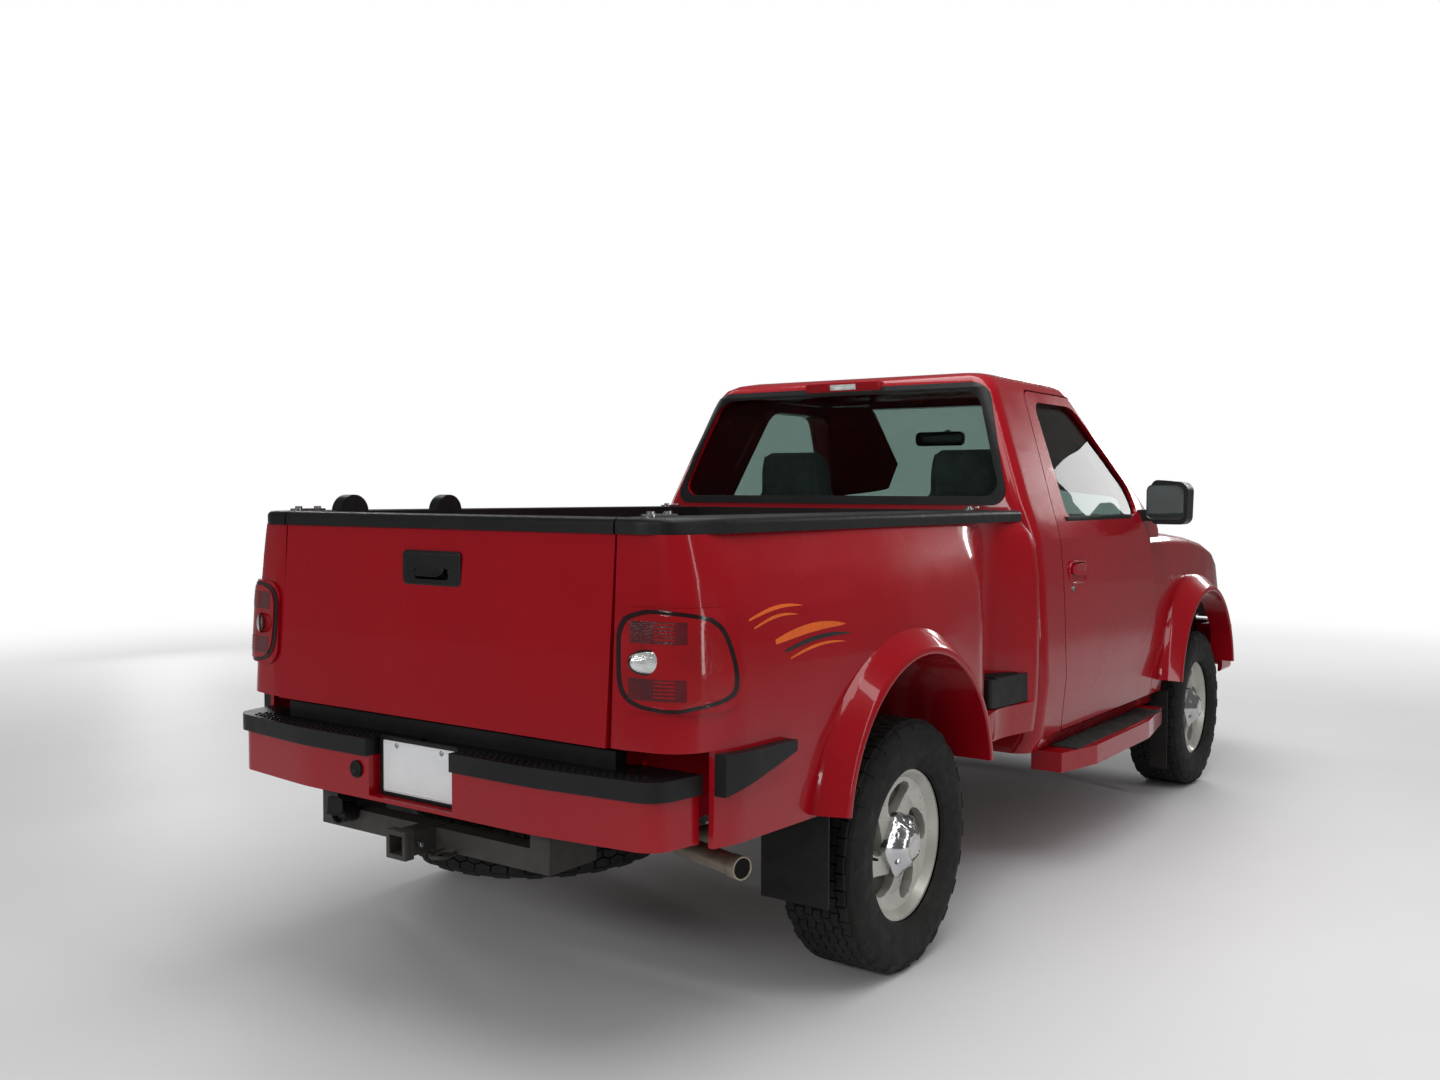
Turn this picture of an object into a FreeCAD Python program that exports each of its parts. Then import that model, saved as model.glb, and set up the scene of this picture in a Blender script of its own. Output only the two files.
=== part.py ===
"""Four-wheel-drive pickup truck with a regular cab and a step-side bed.

The truck stands on its tyres at z = 0 and faces -Y.  +X is its left side.
The origin lies on the ground under the middle of the whole vehicle.
"""

import FreeCAD, Part
import math
import os
import re
import types

import Sketcher

os.makedirs("parts", exist_ok=True)
doc = FreeCAD.newDocument("pickup_truck")
vec = FreeCAD.Vector

# Driving dimensions in millimetres, grouped by what they describe
DRIVING = {
    # wheels and axles
    "wheelbase": "3053",
    "track": "1660",
    "tyre_radius": "375",
    "tyre_width": "252",
    "tread_width": "200",
    "bead_radius": "206",
    "rim_lip_radius": "224",
    "rim_width": "190",
    "rim_wall": "9",
    "spoke_face_inset": "34",
    "spoke_thickness": "26",
    "hub_radius": "62",
    "hub_cap_radius": "48",
    "hub_cap_height": "40",
    "slot_inner_radius": "88",
    "slot_outer_radius": "186",
    "axle_tube_radius": "42",
    "axle_case_radius": "140",
    "drum_radius": "150",
    "drum_width": "60",
    "spindle_radius": "30",
    "bearing_gap": "0.3",
    # lengths along the truck, each from the piece in front of it
    "front_overhang": "960",
    "nose_setback": "70",
    "cowl_setback": "330",
    "door_setback": "611",
    "door_length": "1137",
    "cab_back_length": "220",
    "cab_bed_gap": "28",
    "bed_length": "2105",
    "bumper_reach": "62",
    "receiver_reach": "40",
    # widths, given as half widths from the middle of the truck
    "body_half_width": "922",
    "bed_half_width": "655",
    "arch_half_width": "1002",
    "roof_half_width": "640",
    "hood_half_width": "735",
    "nose_half_width": "800",
    "rail_half_width": "822",
    "bumper_half_width": "815",
    # heights above the ground
    "sill_height": "455",
    "door_bottom_height": "514",
    "crease_height": "727",
    "belt_height": "1315",
    "roof_height": "1907",
    "hood_rear_height": "1262",
    "hood_front_height": "1030",
    "nose_bottom_height": "742",
    "bed_floor_height": "800",
    "bed_side_bottom_height": "560",
    "bed_rail_height": "1322",
    "bumper_top_height": "740",
    "bumper_bottom_height": "568",
    "frame_top_height": "545",
    "frame_kick_height": "715",
    # thicknesses and gaps
    "door_wall": "72",
    "cab_wall": "46",
    "roof_wall": "38",
    "panel_wall": "14",
    "bed_wall": "22",
    "tailgate_wall": "58",
    "glass_wall": "6",
    "glass_inset": "14",
    "panel_gap": "6",
    "seat_gap": "0.3",
    "overrun": "60",
    # wheel arches
    "arch_radius": "455",
    "arch_rise": "120",
    "flare_width": "82",
    # frame
    "frame_half_width": "455",
    "frame_rail_width": "68",
    "frame_rail_depth": "120",
    "crossmember_width": "90",
    "mount_height": "32",
    # engine, driveline and what hangs under the frame
    "engine_length": "630",
    "engine_half_width": "260",
    "engine_low_height": "500",
    "engine_top_height": "1000",
    "gearbox_length": "720",
    "gearbox_half_width": "130",
    "gearbox_low_height": "340",
    "transfer_length": "250",
    "shaft_radius": "36",
    "tank_length": "520",
    "pipe_radius": "28",
    "muffler_radius": "70",
    "spare_width": "200",
    "spring_width": "60",
    "spring_length": "1240",
    "kingpin_x": "740",
    "knuckle_width": "80",
    "knuckle_height": "260",
    "receiver_height": "478",
    "receiver_bore": "50.8",
    "receiver_wall": "6.5",
    # steps, flaps and seats
    "board_low_height": "378",
    "flap_wall": "6",
    "seat_width": "450",
    "seat_inner_x": "200",
    "steering_wheel_radius": "185",
}

# Places and sizes worked out from the driving dimensions
DERIVED = {
    "length_to_bumper": "=door_setback + door_length + cab_back_length + cab_bed_gap + bed_length"
                        " + bumper_reach",
    "front_axle_y": "=(front_overhang - length_to_bumper - receiver_reach) / 2",
    "rear_axle_y": "=front_axle_y + wheelbase",
    "nose_y": "=front_axle_y - front_overhang + nose_setback",
    "cowl_y": "=front_axle_y + cowl_setback",
    "door_front_y": "=front_axle_y + door_setback",
    "door_rear_y": "=door_front_y + door_length",
    "cab_rear_y": "=door_rear_y + cab_back_length",
    "bed_front_y": "=cab_rear_y + cab_bed_gap",
    "bed_rear_y": "=bed_front_y + bed_length",
    "bumper_face_y": "=bed_rear_y + bumper_reach",
    "receiver_mouth_y": "=bumper_face_y + receiver_reach",
    "wheel_x": "=track / 2",
    "rim_outer_x": "=(track + rim_width) / 2",
    "rim_inner_x": "=(track - rim_width) / 2",
    "cab_floor_height": "=frame_top_height + mount_height",
    "arch_centre_height": "=tyre_radius + arch_rise",
    "frame_front_y": "=nose_y + nose_setback",
    "frame_rear_y": "=bed_rear_y - tailgate_wall * 2",
    "rail_inner_x": "=frame_half_width - frame_rail_width",
    "front_rail_low": "=frame_top_height + (frame_kick_height - frame_top_height) * 0.3 - frame_rail_depth",
    "rear_rail_low": "=frame_top_height + (frame_kick_height - frame_top_height) * 0.75 - frame_rail_depth",
    "spare_y": "=frame_front_y + (frame_rear_y - frame_front_y) * 0.93",
    "spare_bar_low": "=frame_top_height + (frame_kick_height - frame_top_height) * 0.8056"
                     " - frame_rail_depth * 5 / 6",
    "hub_face_x": "=wheel_x + rim_width / 2 - spoke_face_inset - spoke_thickness - bearing_gap",
    "engine_rear_y": "=cowl_y - cab_wall * 2.8",
    "engine_front_y": "=engine_rear_y - engine_length",
    "gearbox_rear_y": "=engine_rear_y + gearbox_length",
    "transfer_rear_y": "=gearbox_rear_y + transfer_length",
    "pinion_y": "=rear_axle_y - axle_case_radius * 1.3",
}

sheet = doc.addObject("Spreadsheet::Sheet", "Sizes")
for row, (alias, text) in enumerate({**DRIVING, **DERIVED}.items(), start=1):
    sheet.set(f"A{row}", alias)
    sheet.set(f"B{row}", text)
    sheet.setAlias(f"B{row}", alias)
doc.recompute()
d = types.SimpleNamespace(**{alias: float(sheet.get(alias)) for alias in {**DRIVING, **DERIVED}})
nodes = []


def sized(text):
    """Write an expression over the sheet's aliases."""
    return re.sub(r"[a-z_]+_[a-z_]+|track|wheelbase|overrun", lambda word: "Sizes." + word.group(), text)


def bind(piece, **expressions):
    """Bind properties of an object to the sheet."""
    for name, text in expressions.items():
        piece.setExpression(name, sized(text))
    return piece


def place(piece, x="0", y="0", z="0"):
    """Bind an object's position to the sheet."""
    for axis, text in zip("xyz", (x, y, z)):
        piece.setExpression(f"Placement.Base.{axis}", sized(text))
    return piece


def node(piece, label):
    """Name a finished sub-part and keep it for export."""
    piece.Label = label
    nodes.append(piece)
    return piece


def shaped(shape, label):
    """Keep a shape made by lofts and booleans as a sub-part."""
    piece = doc.addObject("Part::Feature", label)
    piece.Shape = shape
    piece.Placement = FreeCAD.Placement()
    return node(piece, label)


def mirrored(shape):
    """The same shape on the truck's other side."""
    return shape.mirror(vec(0, 0, 0), vec(1, 0, 0))


def both_sides(shape):
    """A shape and its mirror image, as separate solids."""
    return Part.makeCompound([shape, mirrored(shape)])


def rounded(points, trims):
    """Closed wire through the points, each corner rounded from its trim length."""
    corners = []
    count = len(points)
    for index, (corner, trim) in enumerate(zip(points, trims)):
        before = (points[index - 1] - corner).normalize()
        after = (points[(index + 1) % count] - corner).normalize()
        if trim == 0:
            corners.append((corner, None, corner))
            continue
        half = before.getAngle(after) / 2
        radius = trim * math.tan(half)
        middle = corner + (before + after).normalize() * (radius / math.sin(half) - radius)
        corners.append((corner + before * trim, middle, corner + after * trim))
    edges = []
    for index, (start, middle, end) in enumerate(corners):
        if middle is not None:
            edges.append(Part.Arc(start, middle, end).toShape())
        following = corners[(index + 1) % count][0]
        if (following - end).Length > d.seat_gap / 10:
            edges.append(Part.LineSegment(end, following).toShape())
    return Part.Wire(edges)


def loft(wires):
    """Solid through a row of closed wires, straight between each two."""
    return Part.makeLoft(wires, True, True)


def prism_x(outline, trims, x_from, x_to):
    """Solid of a YZ outline between two X places."""
    wire = rounded([vec(x_from, y, z) for y, z in outline], trims)
    return Part.Face(wire).extrude(vec(x_to - x_from, 0, 0))


def prism_y(outline, trims, y_from, y_to):
    """Solid of an XZ outline between two Y places."""
    wire = rounded([vec(x, y_from, z) for x, z in outline], trims)
    return Part.Face(wire).extrude(vec(0, y_to - y_from, 0))


def prism_z(outline, trims, z_from, z_to):
    """Solid of an XY outline between two heights."""
    wire = rounded([vec(x, y, z_from) for x, y in outline], trims)
    return Part.Face(wire).extrude(vec(0, 0, z_to - z_from))


def block(x_from, x_to, y_from, y_to, z_from, z_to):
    """Plain block between the given places."""
    return Part.makeBox(x_to - x_from, y_to - y_from, z_to - z_from, vec(x_from, y_from, z_from))


def rod(start, end, radius):
    """Round bar between two points."""
    return Part.makeCylinder(radius, (end - start).Length, start, end - start)


def mix(low, high, share):
    """Value at a share of the way from low to high."""
    return low + (high - low) * share


def sheet_value(text):
    """Number that an expression over the sheet's aliases gives now."""
    sheet.set("C1", "=" + re.sub(r"Sizes\.", "", sized(text)))
    sheet.recompute()
    return float(sheet.get("C1"))


def sketch_on(body, role, name):
    """New sketch on one of a body's origin planes."""
    plane = [item for item in body.Origin.OriginFeatures if item.Role == role][0]
    sketch = body.newObject("Sketcher::SketchObject", name)
    sketch.AttachmentSupport = [(plane, "")]
    sketch.MapMode = "FlatFace"
    return sketch


def draw_outline(sketch, outline):
    """Closed outline whose every corner is bound to the sheet."""
    values = [[sheet_value(text) for text in corner] for corner in outline]
    count = len(outline)
    for index, (x, y) in enumerate(values):
        end_x, end_y = values[(index + 1) % count]
        sketch.addGeometry(Part.LineSegment(vec(x, y, 0), vec(end_x, end_y, 0)), False)
    for index in range(count):
        sketch.addConstraint(Sketcher.Constraint("Coincident", index, 2, (index + 1) % count, 1))
    for index, (corner, place_now) in enumerate(zip(outline, values)):
        for kind, text, value in zip(("DistanceX", "DistanceY"), corner, place_now):
            number = sketch.addConstraint(Sketcher.Constraint(kind, -1, 1, index, 1, value))
            sketch.setExpression(f"Constraints[{number}]", sized(text))


def turned_body(name, outline):
    """Body turned about the X axis from an outline of places along it and radii."""
    body = doc.addObject("PartDesign::Body", name)
    sketch = sketch_on(body, "XY_Plane", name + "_profile")
    draw_outline(sketch, outline)
    turn = body.newObject("PartDesign::Revolution", name + "_turn")
    turn.Profile = sketch
    turn.ReferenceAxis = (sketch, ["H_Axis"])
    turn.Angle = 360
    body.Tip = turn
    return body


# Tyres: a turned section with bulging walls and a flat tread, filled to the rim
TYRE_SECTION = (
    ("rim_width / 2 - rim_wall * 2", "bead_radius"),
    ("rim_width / 2", "rim_lip_radius"),
    ("tyre_width / 2 * 0.96", "rim_lip_radius * 0.7 + tyre_radius * 0.3"),
    ("tyre_width / 2", "rim_lip_radius * 0.45 + tyre_radius * 0.55"),
    ("tyre_width / 2 * 0.96", "rim_lip_radius * 0.16 + tyre_radius * 0.84"),
    ("tread_width / 2", "tyre_radius * 0.992"),
    ("tread_width / 4", "tyre_radius"),
)

# Rims: barrel with lips, a dished face and a centre cap, then five swirled slots
FACE_PLACE = "rim_width / 2 - spoke_face_inset"
BACK_PLACE = "rim_width / 2 - spoke_face_inset - spoke_thickness"
RIM_SECTION = (
    (BACK_PLACE, "0"),
    (BACK_PLACE, "bead_radius - rim_wall"),
    ("-rim_width / 2", "bead_radius - rim_wall"),
    ("-rim_width / 2", "rim_lip_radius"),
    ("-rim_width / 2 + rim_wall * 2", "bead_radius"),
    ("rim_width / 2 - rim_wall * 2", "bead_radius"),
    ("rim_width / 2", "rim_lip_radius"),
    ("rim_width / 2", "rim_lip_radius - rim_wall"),
    (FACE_PLACE + " + rim_wall", "bead_radius - rim_wall"),
    (FACE_PLACE, "slot_outer_radius * 0.8"),
    (FACE_PLACE + " + rim_wall", "hub_radius * 1.25"),
    ("rim_width / 2 - rim_wall", "hub_radius"),
    ("rim_width / 2 - rim_wall + hub_cap_height * 0.6", "hub_cap_radius"),
    ("rim_width / 2 - rim_wall + hub_cap_height", "hub_cap_radius * 0.7"),
    ("rim_width / 2 - rim_wall + hub_cap_height", "0"),
)
SLOT_COUNT = 5
SLOT_POINTS = 14
SLOT_HALF_ANGLE = math.radians(21)
SLOT_SWIRL = math.radians(17)


def slot_outline():
    """Rounded slot that leans with the turn of the wheel, as shares of its two radii."""
    outline = []
    for index in range(SLOT_POINTS):
        turn = 2 * math.pi * index / SLOT_POINTS
        rise = (1 + math.sin(turn)) / 2
        angle = SLOT_HALF_ANGLE * math.cos(turn) + SLOT_SWIRL * (2 * rise - 1)
        corner = []
        for direction in (math.sin(angle), math.cos(angle)):
            inner_share = round((1 - rise) * direction, 5)
            outer_share = round(rise * direction, 5)
            corner.append(f"slot_inner_radius * ({inner_share}) + slot_outer_radius * ({outer_share})")
        outline.append(tuple(corner))
    return outline


def rim_body(name):
    """Rim with its slots cut right through the face."""
    body = turned_body(name, RIM_SECTION)
    doc.recompute()
    turn = body.Tip
    sketch = sketch_on(body, "YZ_Plane", name + "_slot_outline")
    draw_outline(sketch, slot_outline())
    slot = body.newObject("PartDesign::Pocket", name + "_slot")
    slot.Profile = sketch
    slot.Type = "ThroughAll"
    slot.Reversed = False
    slot.Midplane = True
    axis = [item for item in body.Origin.OriginFeatures if item.Role == "X_Axis"][0]
    slots = body.newObject("PartDesign::PolarPattern", name + "_slots")
    slots.Originals = [slot]
    slots.Axis = (axis, [""])
    slots.Angle = 360
    slots.Occurrences = SLOT_COUNT
    body.Tip = slots
    doc.recompute()
    assert slots.Shape.Volume < turn.Shape.Volume
    return body


WHEELS = (
    ("left_front", "wheel_x", "front_axle_y", 0),
    ("right_front", "-wheel_x", "front_axle_y", 180),
    ("left_rear", "wheel_x", "rear_axle_y", 0),
    ("right_rear", "-wheel_x", "rear_axle_y", 180),
)
for corner_name, x_text, y_text, turn_angle in WHEELS:
    tyre_outline = list(TYRE_SECTION)
    tyre_outline += [("-(" + x + ")", radius) for x, radius in reversed(TYRE_SECTION)]
    tyre = turned_body(corner_name + "_tyre_body", tyre_outline)
    rim = rim_body(corner_name + "_rim_body")
    for wheel_piece in (tyre, rim):
        wheel_piece.Placement.Rotation = FreeCAD.Rotation(vec(0, 0, 1), turn_angle)
        place(wheel_piece, x_text, y_text, "tyre_radius")
    node(tyre, corner_name + "_tyre")
    node(rim, corner_name + "_rim")

# Ladder frame: two boxed rails with a kick over each axle, joined by crossmembers
rail_x = d.frame_half_width - d.frame_rail_width
rail_low = d.frame_top_height - d.frame_rail_depth
RAIL_SHARES = (
    # share of the way along the truck, share of the rise to the kick's height
    (0.0, 0.15),
    (0.10, 0.30),
    (0.19, 0.30),
    (0.235, 0.0),
    (0.63, 0.0),
    (0.71, 1.0),
    (0.86, 1.0),
    (0.95, 0.75),
    (1.0, 0.75),
)
frame_front = d.frame_front_y
frame_rear = d.frame_rear_y
rail_line = [(mix(frame_front, frame_rear, along),
              mix(d.frame_top_height, d.frame_kick_height, rise)) for along, rise in RAIL_SHARES]
rail_outline = rail_line + [(y, z - d.frame_rail_depth) for y, z in reversed(rail_line)]
rail = prism_x(rail_outline, [0] * len(rail_outline), rail_x, d.frame_half_width)


def rail_top(y):
    """Height of the rails' top at a place along the truck."""
    for (y_low, z_low), (y_high, z_high) in zip(rail_line, rail_line[1:]):
        if y <= y_high:
            return mix(z_low, z_high, (y - y_low) / (y_high - y_low))
    return rail_line[-1][1]


def crossmember(y):
    """Boxed bar between the rails, two thirds of their depth."""
    top = rail_top(y) - d.frame_rail_depth / 6
    return block(-rail_x, rail_x, y - d.crossmember_width / 2, y + d.crossmember_width / 2,
                 top - d.frame_rail_depth * 2 / 3, top)


CROSS_SHARES = (0.02, 0.503, 0.70, 0.93, 0.99)
cross_places = [mix(frame_front, frame_rear, share) for share in CROSS_SHARES]
cab_mounts = []
for mount_y in (d.cowl_y + d.cab_back_length, d.cab_rear_y - d.cab_back_length / 2):
    cab_mounts.append(Part.makeCylinder(d.frame_rail_width / 2, d.mount_height,
                                        vec(d.frame_half_width - d.frame_rail_width / 2, mount_y,
                                            rail_top(mount_y)), vec(0, 0, 1)))
frame_side = rail.multiFuse(cab_mounts)
frame_solids = [frame_side.removeSplitter(), mirrored(frame_side).removeSplitter()]
frame_shape = Part.makeCompound(frame_solids + [crossmember(y) for y in cross_places])
shaped(frame_shape, "chassis_frame")

# Cab: an outer form and the same form drawn in by the wall, first below the belt, then above
lower_rise = d.belt_height - d.sill_height
upper_rise = d.roof_height - d.belt_height
LOWER_SHARES = (
    # share of the lower height, share of the body's half width
    (0.0, 0.935),
    (0.07, 0.975),
    (0.316, 1.0),
    (0.52, 0.993),
    (0.75, 0.98),
    (0.92, 0.962),
    (1.0, 0.94),
)
UPPER_SHARES = (
    # shares of the upper height, of the lean in to the roof, of the windscreen's and rear's run
    (0.0, 0.0, 0.0, 0.0),
    (0.14, 0.15, 0.13, 0.06),
    (0.48, 0.50, 0.50, 0.42),
    (0.80, 0.84, 0.85, 0.82),
    (0.88, 0.93, 0.935, 0.93),
    (0.94, 1.04, 1.00, 1.12),
    (0.975, 1.20, 1.09, 1.42),
    (0.992, 1.42, 1.17, 1.80),
    (1.0, 1.80, 1.30, 2.30),
)
belt_half_width = d.body_half_width * LOWER_SHARES[-1][1]
windscreen_foot_y = d.cowl_y + d.cab_back_length * 0.68
windscreen_run = (d.door_length + d.door_setback) * 0.307
rear_run = d.cab_back_length * 0.57
front_bulge = d.cab_back_length * 0.28


def cab_ring(z, half, front, rear, bulge):
    """Level section of the cab with rounded corners and a bowed front."""
    points = [(half, front), (half, rear), (-half, rear), (-half, front), (0, front - bulge)]
    corner = d.door_wall * 0.95
    trims = [corner, corner, corner, corner, half * 0.6]
    return rounded([vec(x, y, z) for x, y in points], trims)


def lower_cab(side, end):
    """Cab form up to the belt, drawn in by side and end walls."""
    rings = []
    for rise, width in LOWER_SHARES:
        rings.append(cab_ring(mix(d.sill_height, d.belt_height, rise),
                              d.body_half_width * width - side, d.cowl_y + end,
                              d.cab_rear_y - end, front_bulge))
    return loft(rings)


def upper_cab(side, end, top=0.0):
    """Cab form above the belt, drawn in by side, end and roof walls."""
    rings = []
    for rise, lean, screen, back in UPPER_SHARES:
        half = mix(belt_half_width, d.roof_half_width, lean) - side
        front = windscreen_foot_y + windscreen_run * screen + end
        rear = d.cab_rear_y - rear_run * back - end
        height = mix(d.belt_height, d.roof_height - top, rise)
        rings.append(cab_ring(height, half, front, rear, front_bulge))
    return loft(rings)


# Door outline: straight sides up to the belt, then along the windscreen pillar to the roof
door_top = mix(d.belt_height, d.roof_height, 0.885)
pillar_run = windscreen_run * 0.76
pillar_foot = mix(d.belt_height, d.roof_height, 0.195)
door_jamb_lean = d.door_wall * 0.9


def door_outline(grow, rear_lean=0.0):
    """YZ outline of the door, grown all round, its rear edge moved forward by the lean."""
    rear = d.door_rear_y + grow - rear_lean
    return [
        (d.door_front_y - grow, d.door_bottom_height - grow),
        (rear, d.door_bottom_height - grow),
        (rear, d.belt_height),
        (rear - d.cab_back_length * 0.38, door_top + grow),
        (d.door_front_y + pillar_run - grow, door_top + grow),
        (d.door_front_y - grow, pillar_foot + grow * 0.4),
    ]


DOOR_TRIMS = (0.333, 0.333, 0.833, 0.639, 0.833, 0.417)  # corner radii as shares of the door's wall
door_trims = [trim * d.door_wall for trim in DOOR_TRIMS]
outer_x = d.body_half_width + d.overrun
inner_x = d.roof_half_width / 2


def door_prism(grow):
    """Tapered block that cuts the door from the left wall, wider outside than inside."""
    lean = door_jamb_lean * (outer_x - inner_x) / d.door_wall / 2.4
    outside = rounded([vec(outer_x, y, z) for y, z in door_outline(grow)], door_trims)
    inside = rounded([vec(inner_x, y, z) for y, z in door_outline(grow, lean)], door_trims)
    return loft([outside, inside])


window_low = d.belt_height + d.glass_inset * 1.3
window_high = door_top - d.cab_wall * 0.9
WINDOW_TRIMS = (0.694, 0.5, 0.833, 0.972, 0.639)
window_trims = [trim * d.door_wall for trim in WINDOW_TRIMS]


def window_outline(shrink):
    """YZ outline of the door's window."""
    rear = d.door_rear_y - d.cab_back_length * 0.80 - shrink
    return [
        (d.door_front_y + d.cab_wall * 1.7 + shrink, window_low + shrink),
        (rear, window_low + shrink),
        (rear - d.cab_back_length * 0.44, window_high - shrink),
        (d.door_front_y + pillar_run + d.cab_wall * 0.35 + shrink * 0.5, window_high - shrink),
        (d.door_front_y + d.cab_wall * 1.7 + shrink, window_low + upper_rise * 0.20),
    ]


def window_prism(shrink=0.0):
    """Straight block through the left window."""
    return prism_x(window_outline(shrink), window_trims, inner_x, outer_x)


def wheel_house(grow):
    """Room that both steered front wheels sweep."""
    room = Part.makeCylinder(d.arch_radius * 0.98 + grow, d.tyre_radius * 2.1 + grow,
                             vec(d.kingpin_x, d.front_axle_y, 0), vec(0, 0, 1))
    return room.fuse(mirrored(room))


cab_outer = lower_cab(0, 0).fuse(upper_cab(0, 0)).cut(wheel_house(0))
cab_inner = lower_cab(d.door_wall, d.cab_wall).fuse(upper_cab(d.door_wall, d.cab_wall, d.roof_wall))
floor_cut = block(-outer_x, outer_x, d.cowl_y - d.overrun, d.cab_rear_y + d.overrun,
                  0, d.cab_floor_height + d.roof_wall)
fender_inner_x = d.body_half_width - d.door_wall
kick_wall = block(fender_inner_x - d.cab_wall / 2, outer_x, d.cowl_y - d.overrun,
                  d.door_front_y - d.panel_gap,
                  0, d.belt_height)
cab_inner = cab_inner.cut([floor_cut, wheel_house(d.cab_wall / 2), kick_wall, mirrored(kick_wall)])
cab_shell = cab_outer.cut(cab_inner)

# Cowl: the closing panel between the hood's rear edge and the foot of the windscreen
hood_rear_y = d.cowl_y + d.cab_back_length * 0.12
cowl_front_y = hood_rear_y + d.panel_gap
bulkhead_top = d.hood_rear_height * 0.968 - d.panel_wall - d.panel_gap
cowl_low = d.belt_height - d.cab_wall * 0.5
cowl_step_y = windscreen_foot_y - front_bulge
cowl_outline = [(d.cowl_y - d.overrun * 2, bulkhead_top - d.panel_wall),
                (d.cowl_y - d.overrun * 2, bulkhead_top),
                (cowl_front_y, bulkhead_top), (cowl_front_y, d.hood_rear_height - d.panel_gap),
                (cowl_step_y, d.belt_height), (windscreen_foot_y + d.panel_wall, d.belt_height),
                (windscreen_foot_y + d.panel_wall, cowl_low), (cowl_step_y + d.panel_wall, cowl_low),
                (cowl_front_y + d.panel_wall * 1.4, d.hood_rear_height - d.panel_gap * 2),
                (cowl_front_y + d.panel_wall * 1.4, bulkhead_top - d.panel_wall)]
cowl = prism_x(cowl_outline, [0] * len(cowl_outline), -outer_x, outer_x).common(lower_cab(0, 0))
hood_room = prism_x([(d.cowl_y - d.overrun * 2, bulkhead_top), (cowl_front_y, bulkhead_top),
                     (cowl_front_y, d.hood_rear_height - d.panel_gap), (cowl_step_y, d.belt_height),
                     (cowl_step_y, d.belt_height + d.overrun),
                     (d.cowl_y - d.overrun * 2, d.belt_height + d.overrun)],
                    [0] * 6, -outer_x, outer_x).cut(upper_cab(0, 0))

# Front and rear screens are cut through the shell along the truck
SCREEN_LOW_SHARE = 0.02
SCREEN_HIGH_SHARE = 0.865
screen_low = mix(d.belt_height, d.roof_height, SCREEN_LOW_SHARE)
screen_high = mix(d.belt_height, d.roof_height, SCREEN_HIGH_SHARE)
screen_foot_half = belt_half_width - d.door_wall * 1.25
screen_head_half = d.roof_half_width - d.door_wall * 0.75
rear_low = mix(d.belt_height, d.roof_height, 0.165)
rear_high = mix(d.belt_height, d.roof_height, 0.86)
rear_foot_half = belt_half_width - d.cab_wall * 2.6
rear_head_half = d.roof_half_width - d.cab_wall * 0.75
SCREEN_TRIM = 0.972
screen_trims = [SCREEN_TRIM * d.door_wall] * 4
mid_cab_y = (d.door_front_y + d.door_rear_y) / 2 + d.cab_back_length


def screen_prism(shrink=0.0):
    """Block through the windscreen opening."""
    outline = [(screen_foot_half - shrink, screen_low + shrink),
               (screen_head_half - shrink, screen_high - shrink),
               (-screen_head_half + shrink, screen_high - shrink),
               (-screen_foot_half + shrink, screen_low + shrink)]
    return prism_y(outline, screen_trims, d.cowl_y - d.overrun, mid_cab_y)


def rear_prism(shrink=0.0):
    """Block through the rear window opening."""
    outline = [(rear_foot_half - shrink, rear_low + shrink),
               (rear_head_half - shrink, rear_high - shrink),
               (-rear_head_half + shrink, rear_high - shrink),
               (-rear_foot_half + shrink, rear_low + shrink)]
    return prism_y(outline, screen_trims, mid_cab_y, d.cab_rear_y + d.overrun)


# Ahead of the doors the cab narrows to the cowl, which the fenders cover
cowl_cut = block(fender_inner_x, outer_x, d.cowl_y - d.overrun, d.door_front_y - d.panel_gap,
                 0, d.belt_height * 1.02)
frame_room = block(-d.frame_half_width - d.cab_back_length, d.frame_half_width + d.cab_back_length,
                   d.cowl_y - d.overrun, d.cab_rear_y + d.overrun, 0, d.cab_floor_height)
room_inside = lower_cab(d.door_wall + d.panel_gap, 0)
door_hole = door_prism(d.panel_gap).cut(room_inside)
cab = cab_shell.fuse(cowl).cut([door_hole, mirrored(door_hole), cowl_cut, mirrored(cowl_cut), frame_room,
                                hood_room, screen_prism(), rear_prism()])
cab = max(cab.Solids, key=lambda solid: solid.Volume)

# Two brackets on the cowl carry the hood's straps, side by side at the hinge
hinge_x = d.hood_half_width * 0.84
hinge_front_y = hood_rear_y - d.cab_wall * 0.6
hinge_bracket = block(hinge_x + d.seat_gap, hinge_x + d.panel_wall, hinge_front_y,
                      cowl_front_y + d.panel_gap,
                      bulkhead_top + d.seat_gap, bulkhead_top + d.cab_wall * 0.6)
cab = cab.fuse([hinge_bracket, mirrored(hinge_bracket)])
shaped(cab, "cab")

# Doors: the same wall inside the outline, with the window cut through
door = cab_shell.common(door_prism(0)).cut([window_prism(), lower_cab(d.door_wall, 0)])
shaped(door, "left_door")
shaped(mirrored(door), "right_door")

# Glass: a thin layer of the same form, set in from the outer skin
glass_layer = upper_cab(d.glass_inset, d.glass_inset, d.glass_inset).cut(
    upper_cab(d.glass_inset + d.glass_wall, d.glass_inset + d.glass_wall,
              d.glass_inset + d.glass_wall))
side_glass = glass_layer.common(window_prism(d.seat_gap))
shaped(side_glass, "left_door_glass")
shaped(mirrored(side_glass), "right_door_glass")
windscreen = glass_layer.common(screen_prism(d.seat_gap)).cut([door_hole, mirrored(door_hole)])
screens = Part.makeCompound([windscreen, glass_layer.common(rear_prism(d.seat_gap))])
shaped(screens, "cab_glass")

# Front clip: one form from the nose to the doors, split into hood and fenders
clip_rear_y = d.door_front_y - d.panel_gap
CLIP_RINGS = 9
NOSE_TAPER_SHARE = 0.15
shoulder_drop = d.hood_rear_height * 0.032
crown_drop = shoulder_drop * 0.35


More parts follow.
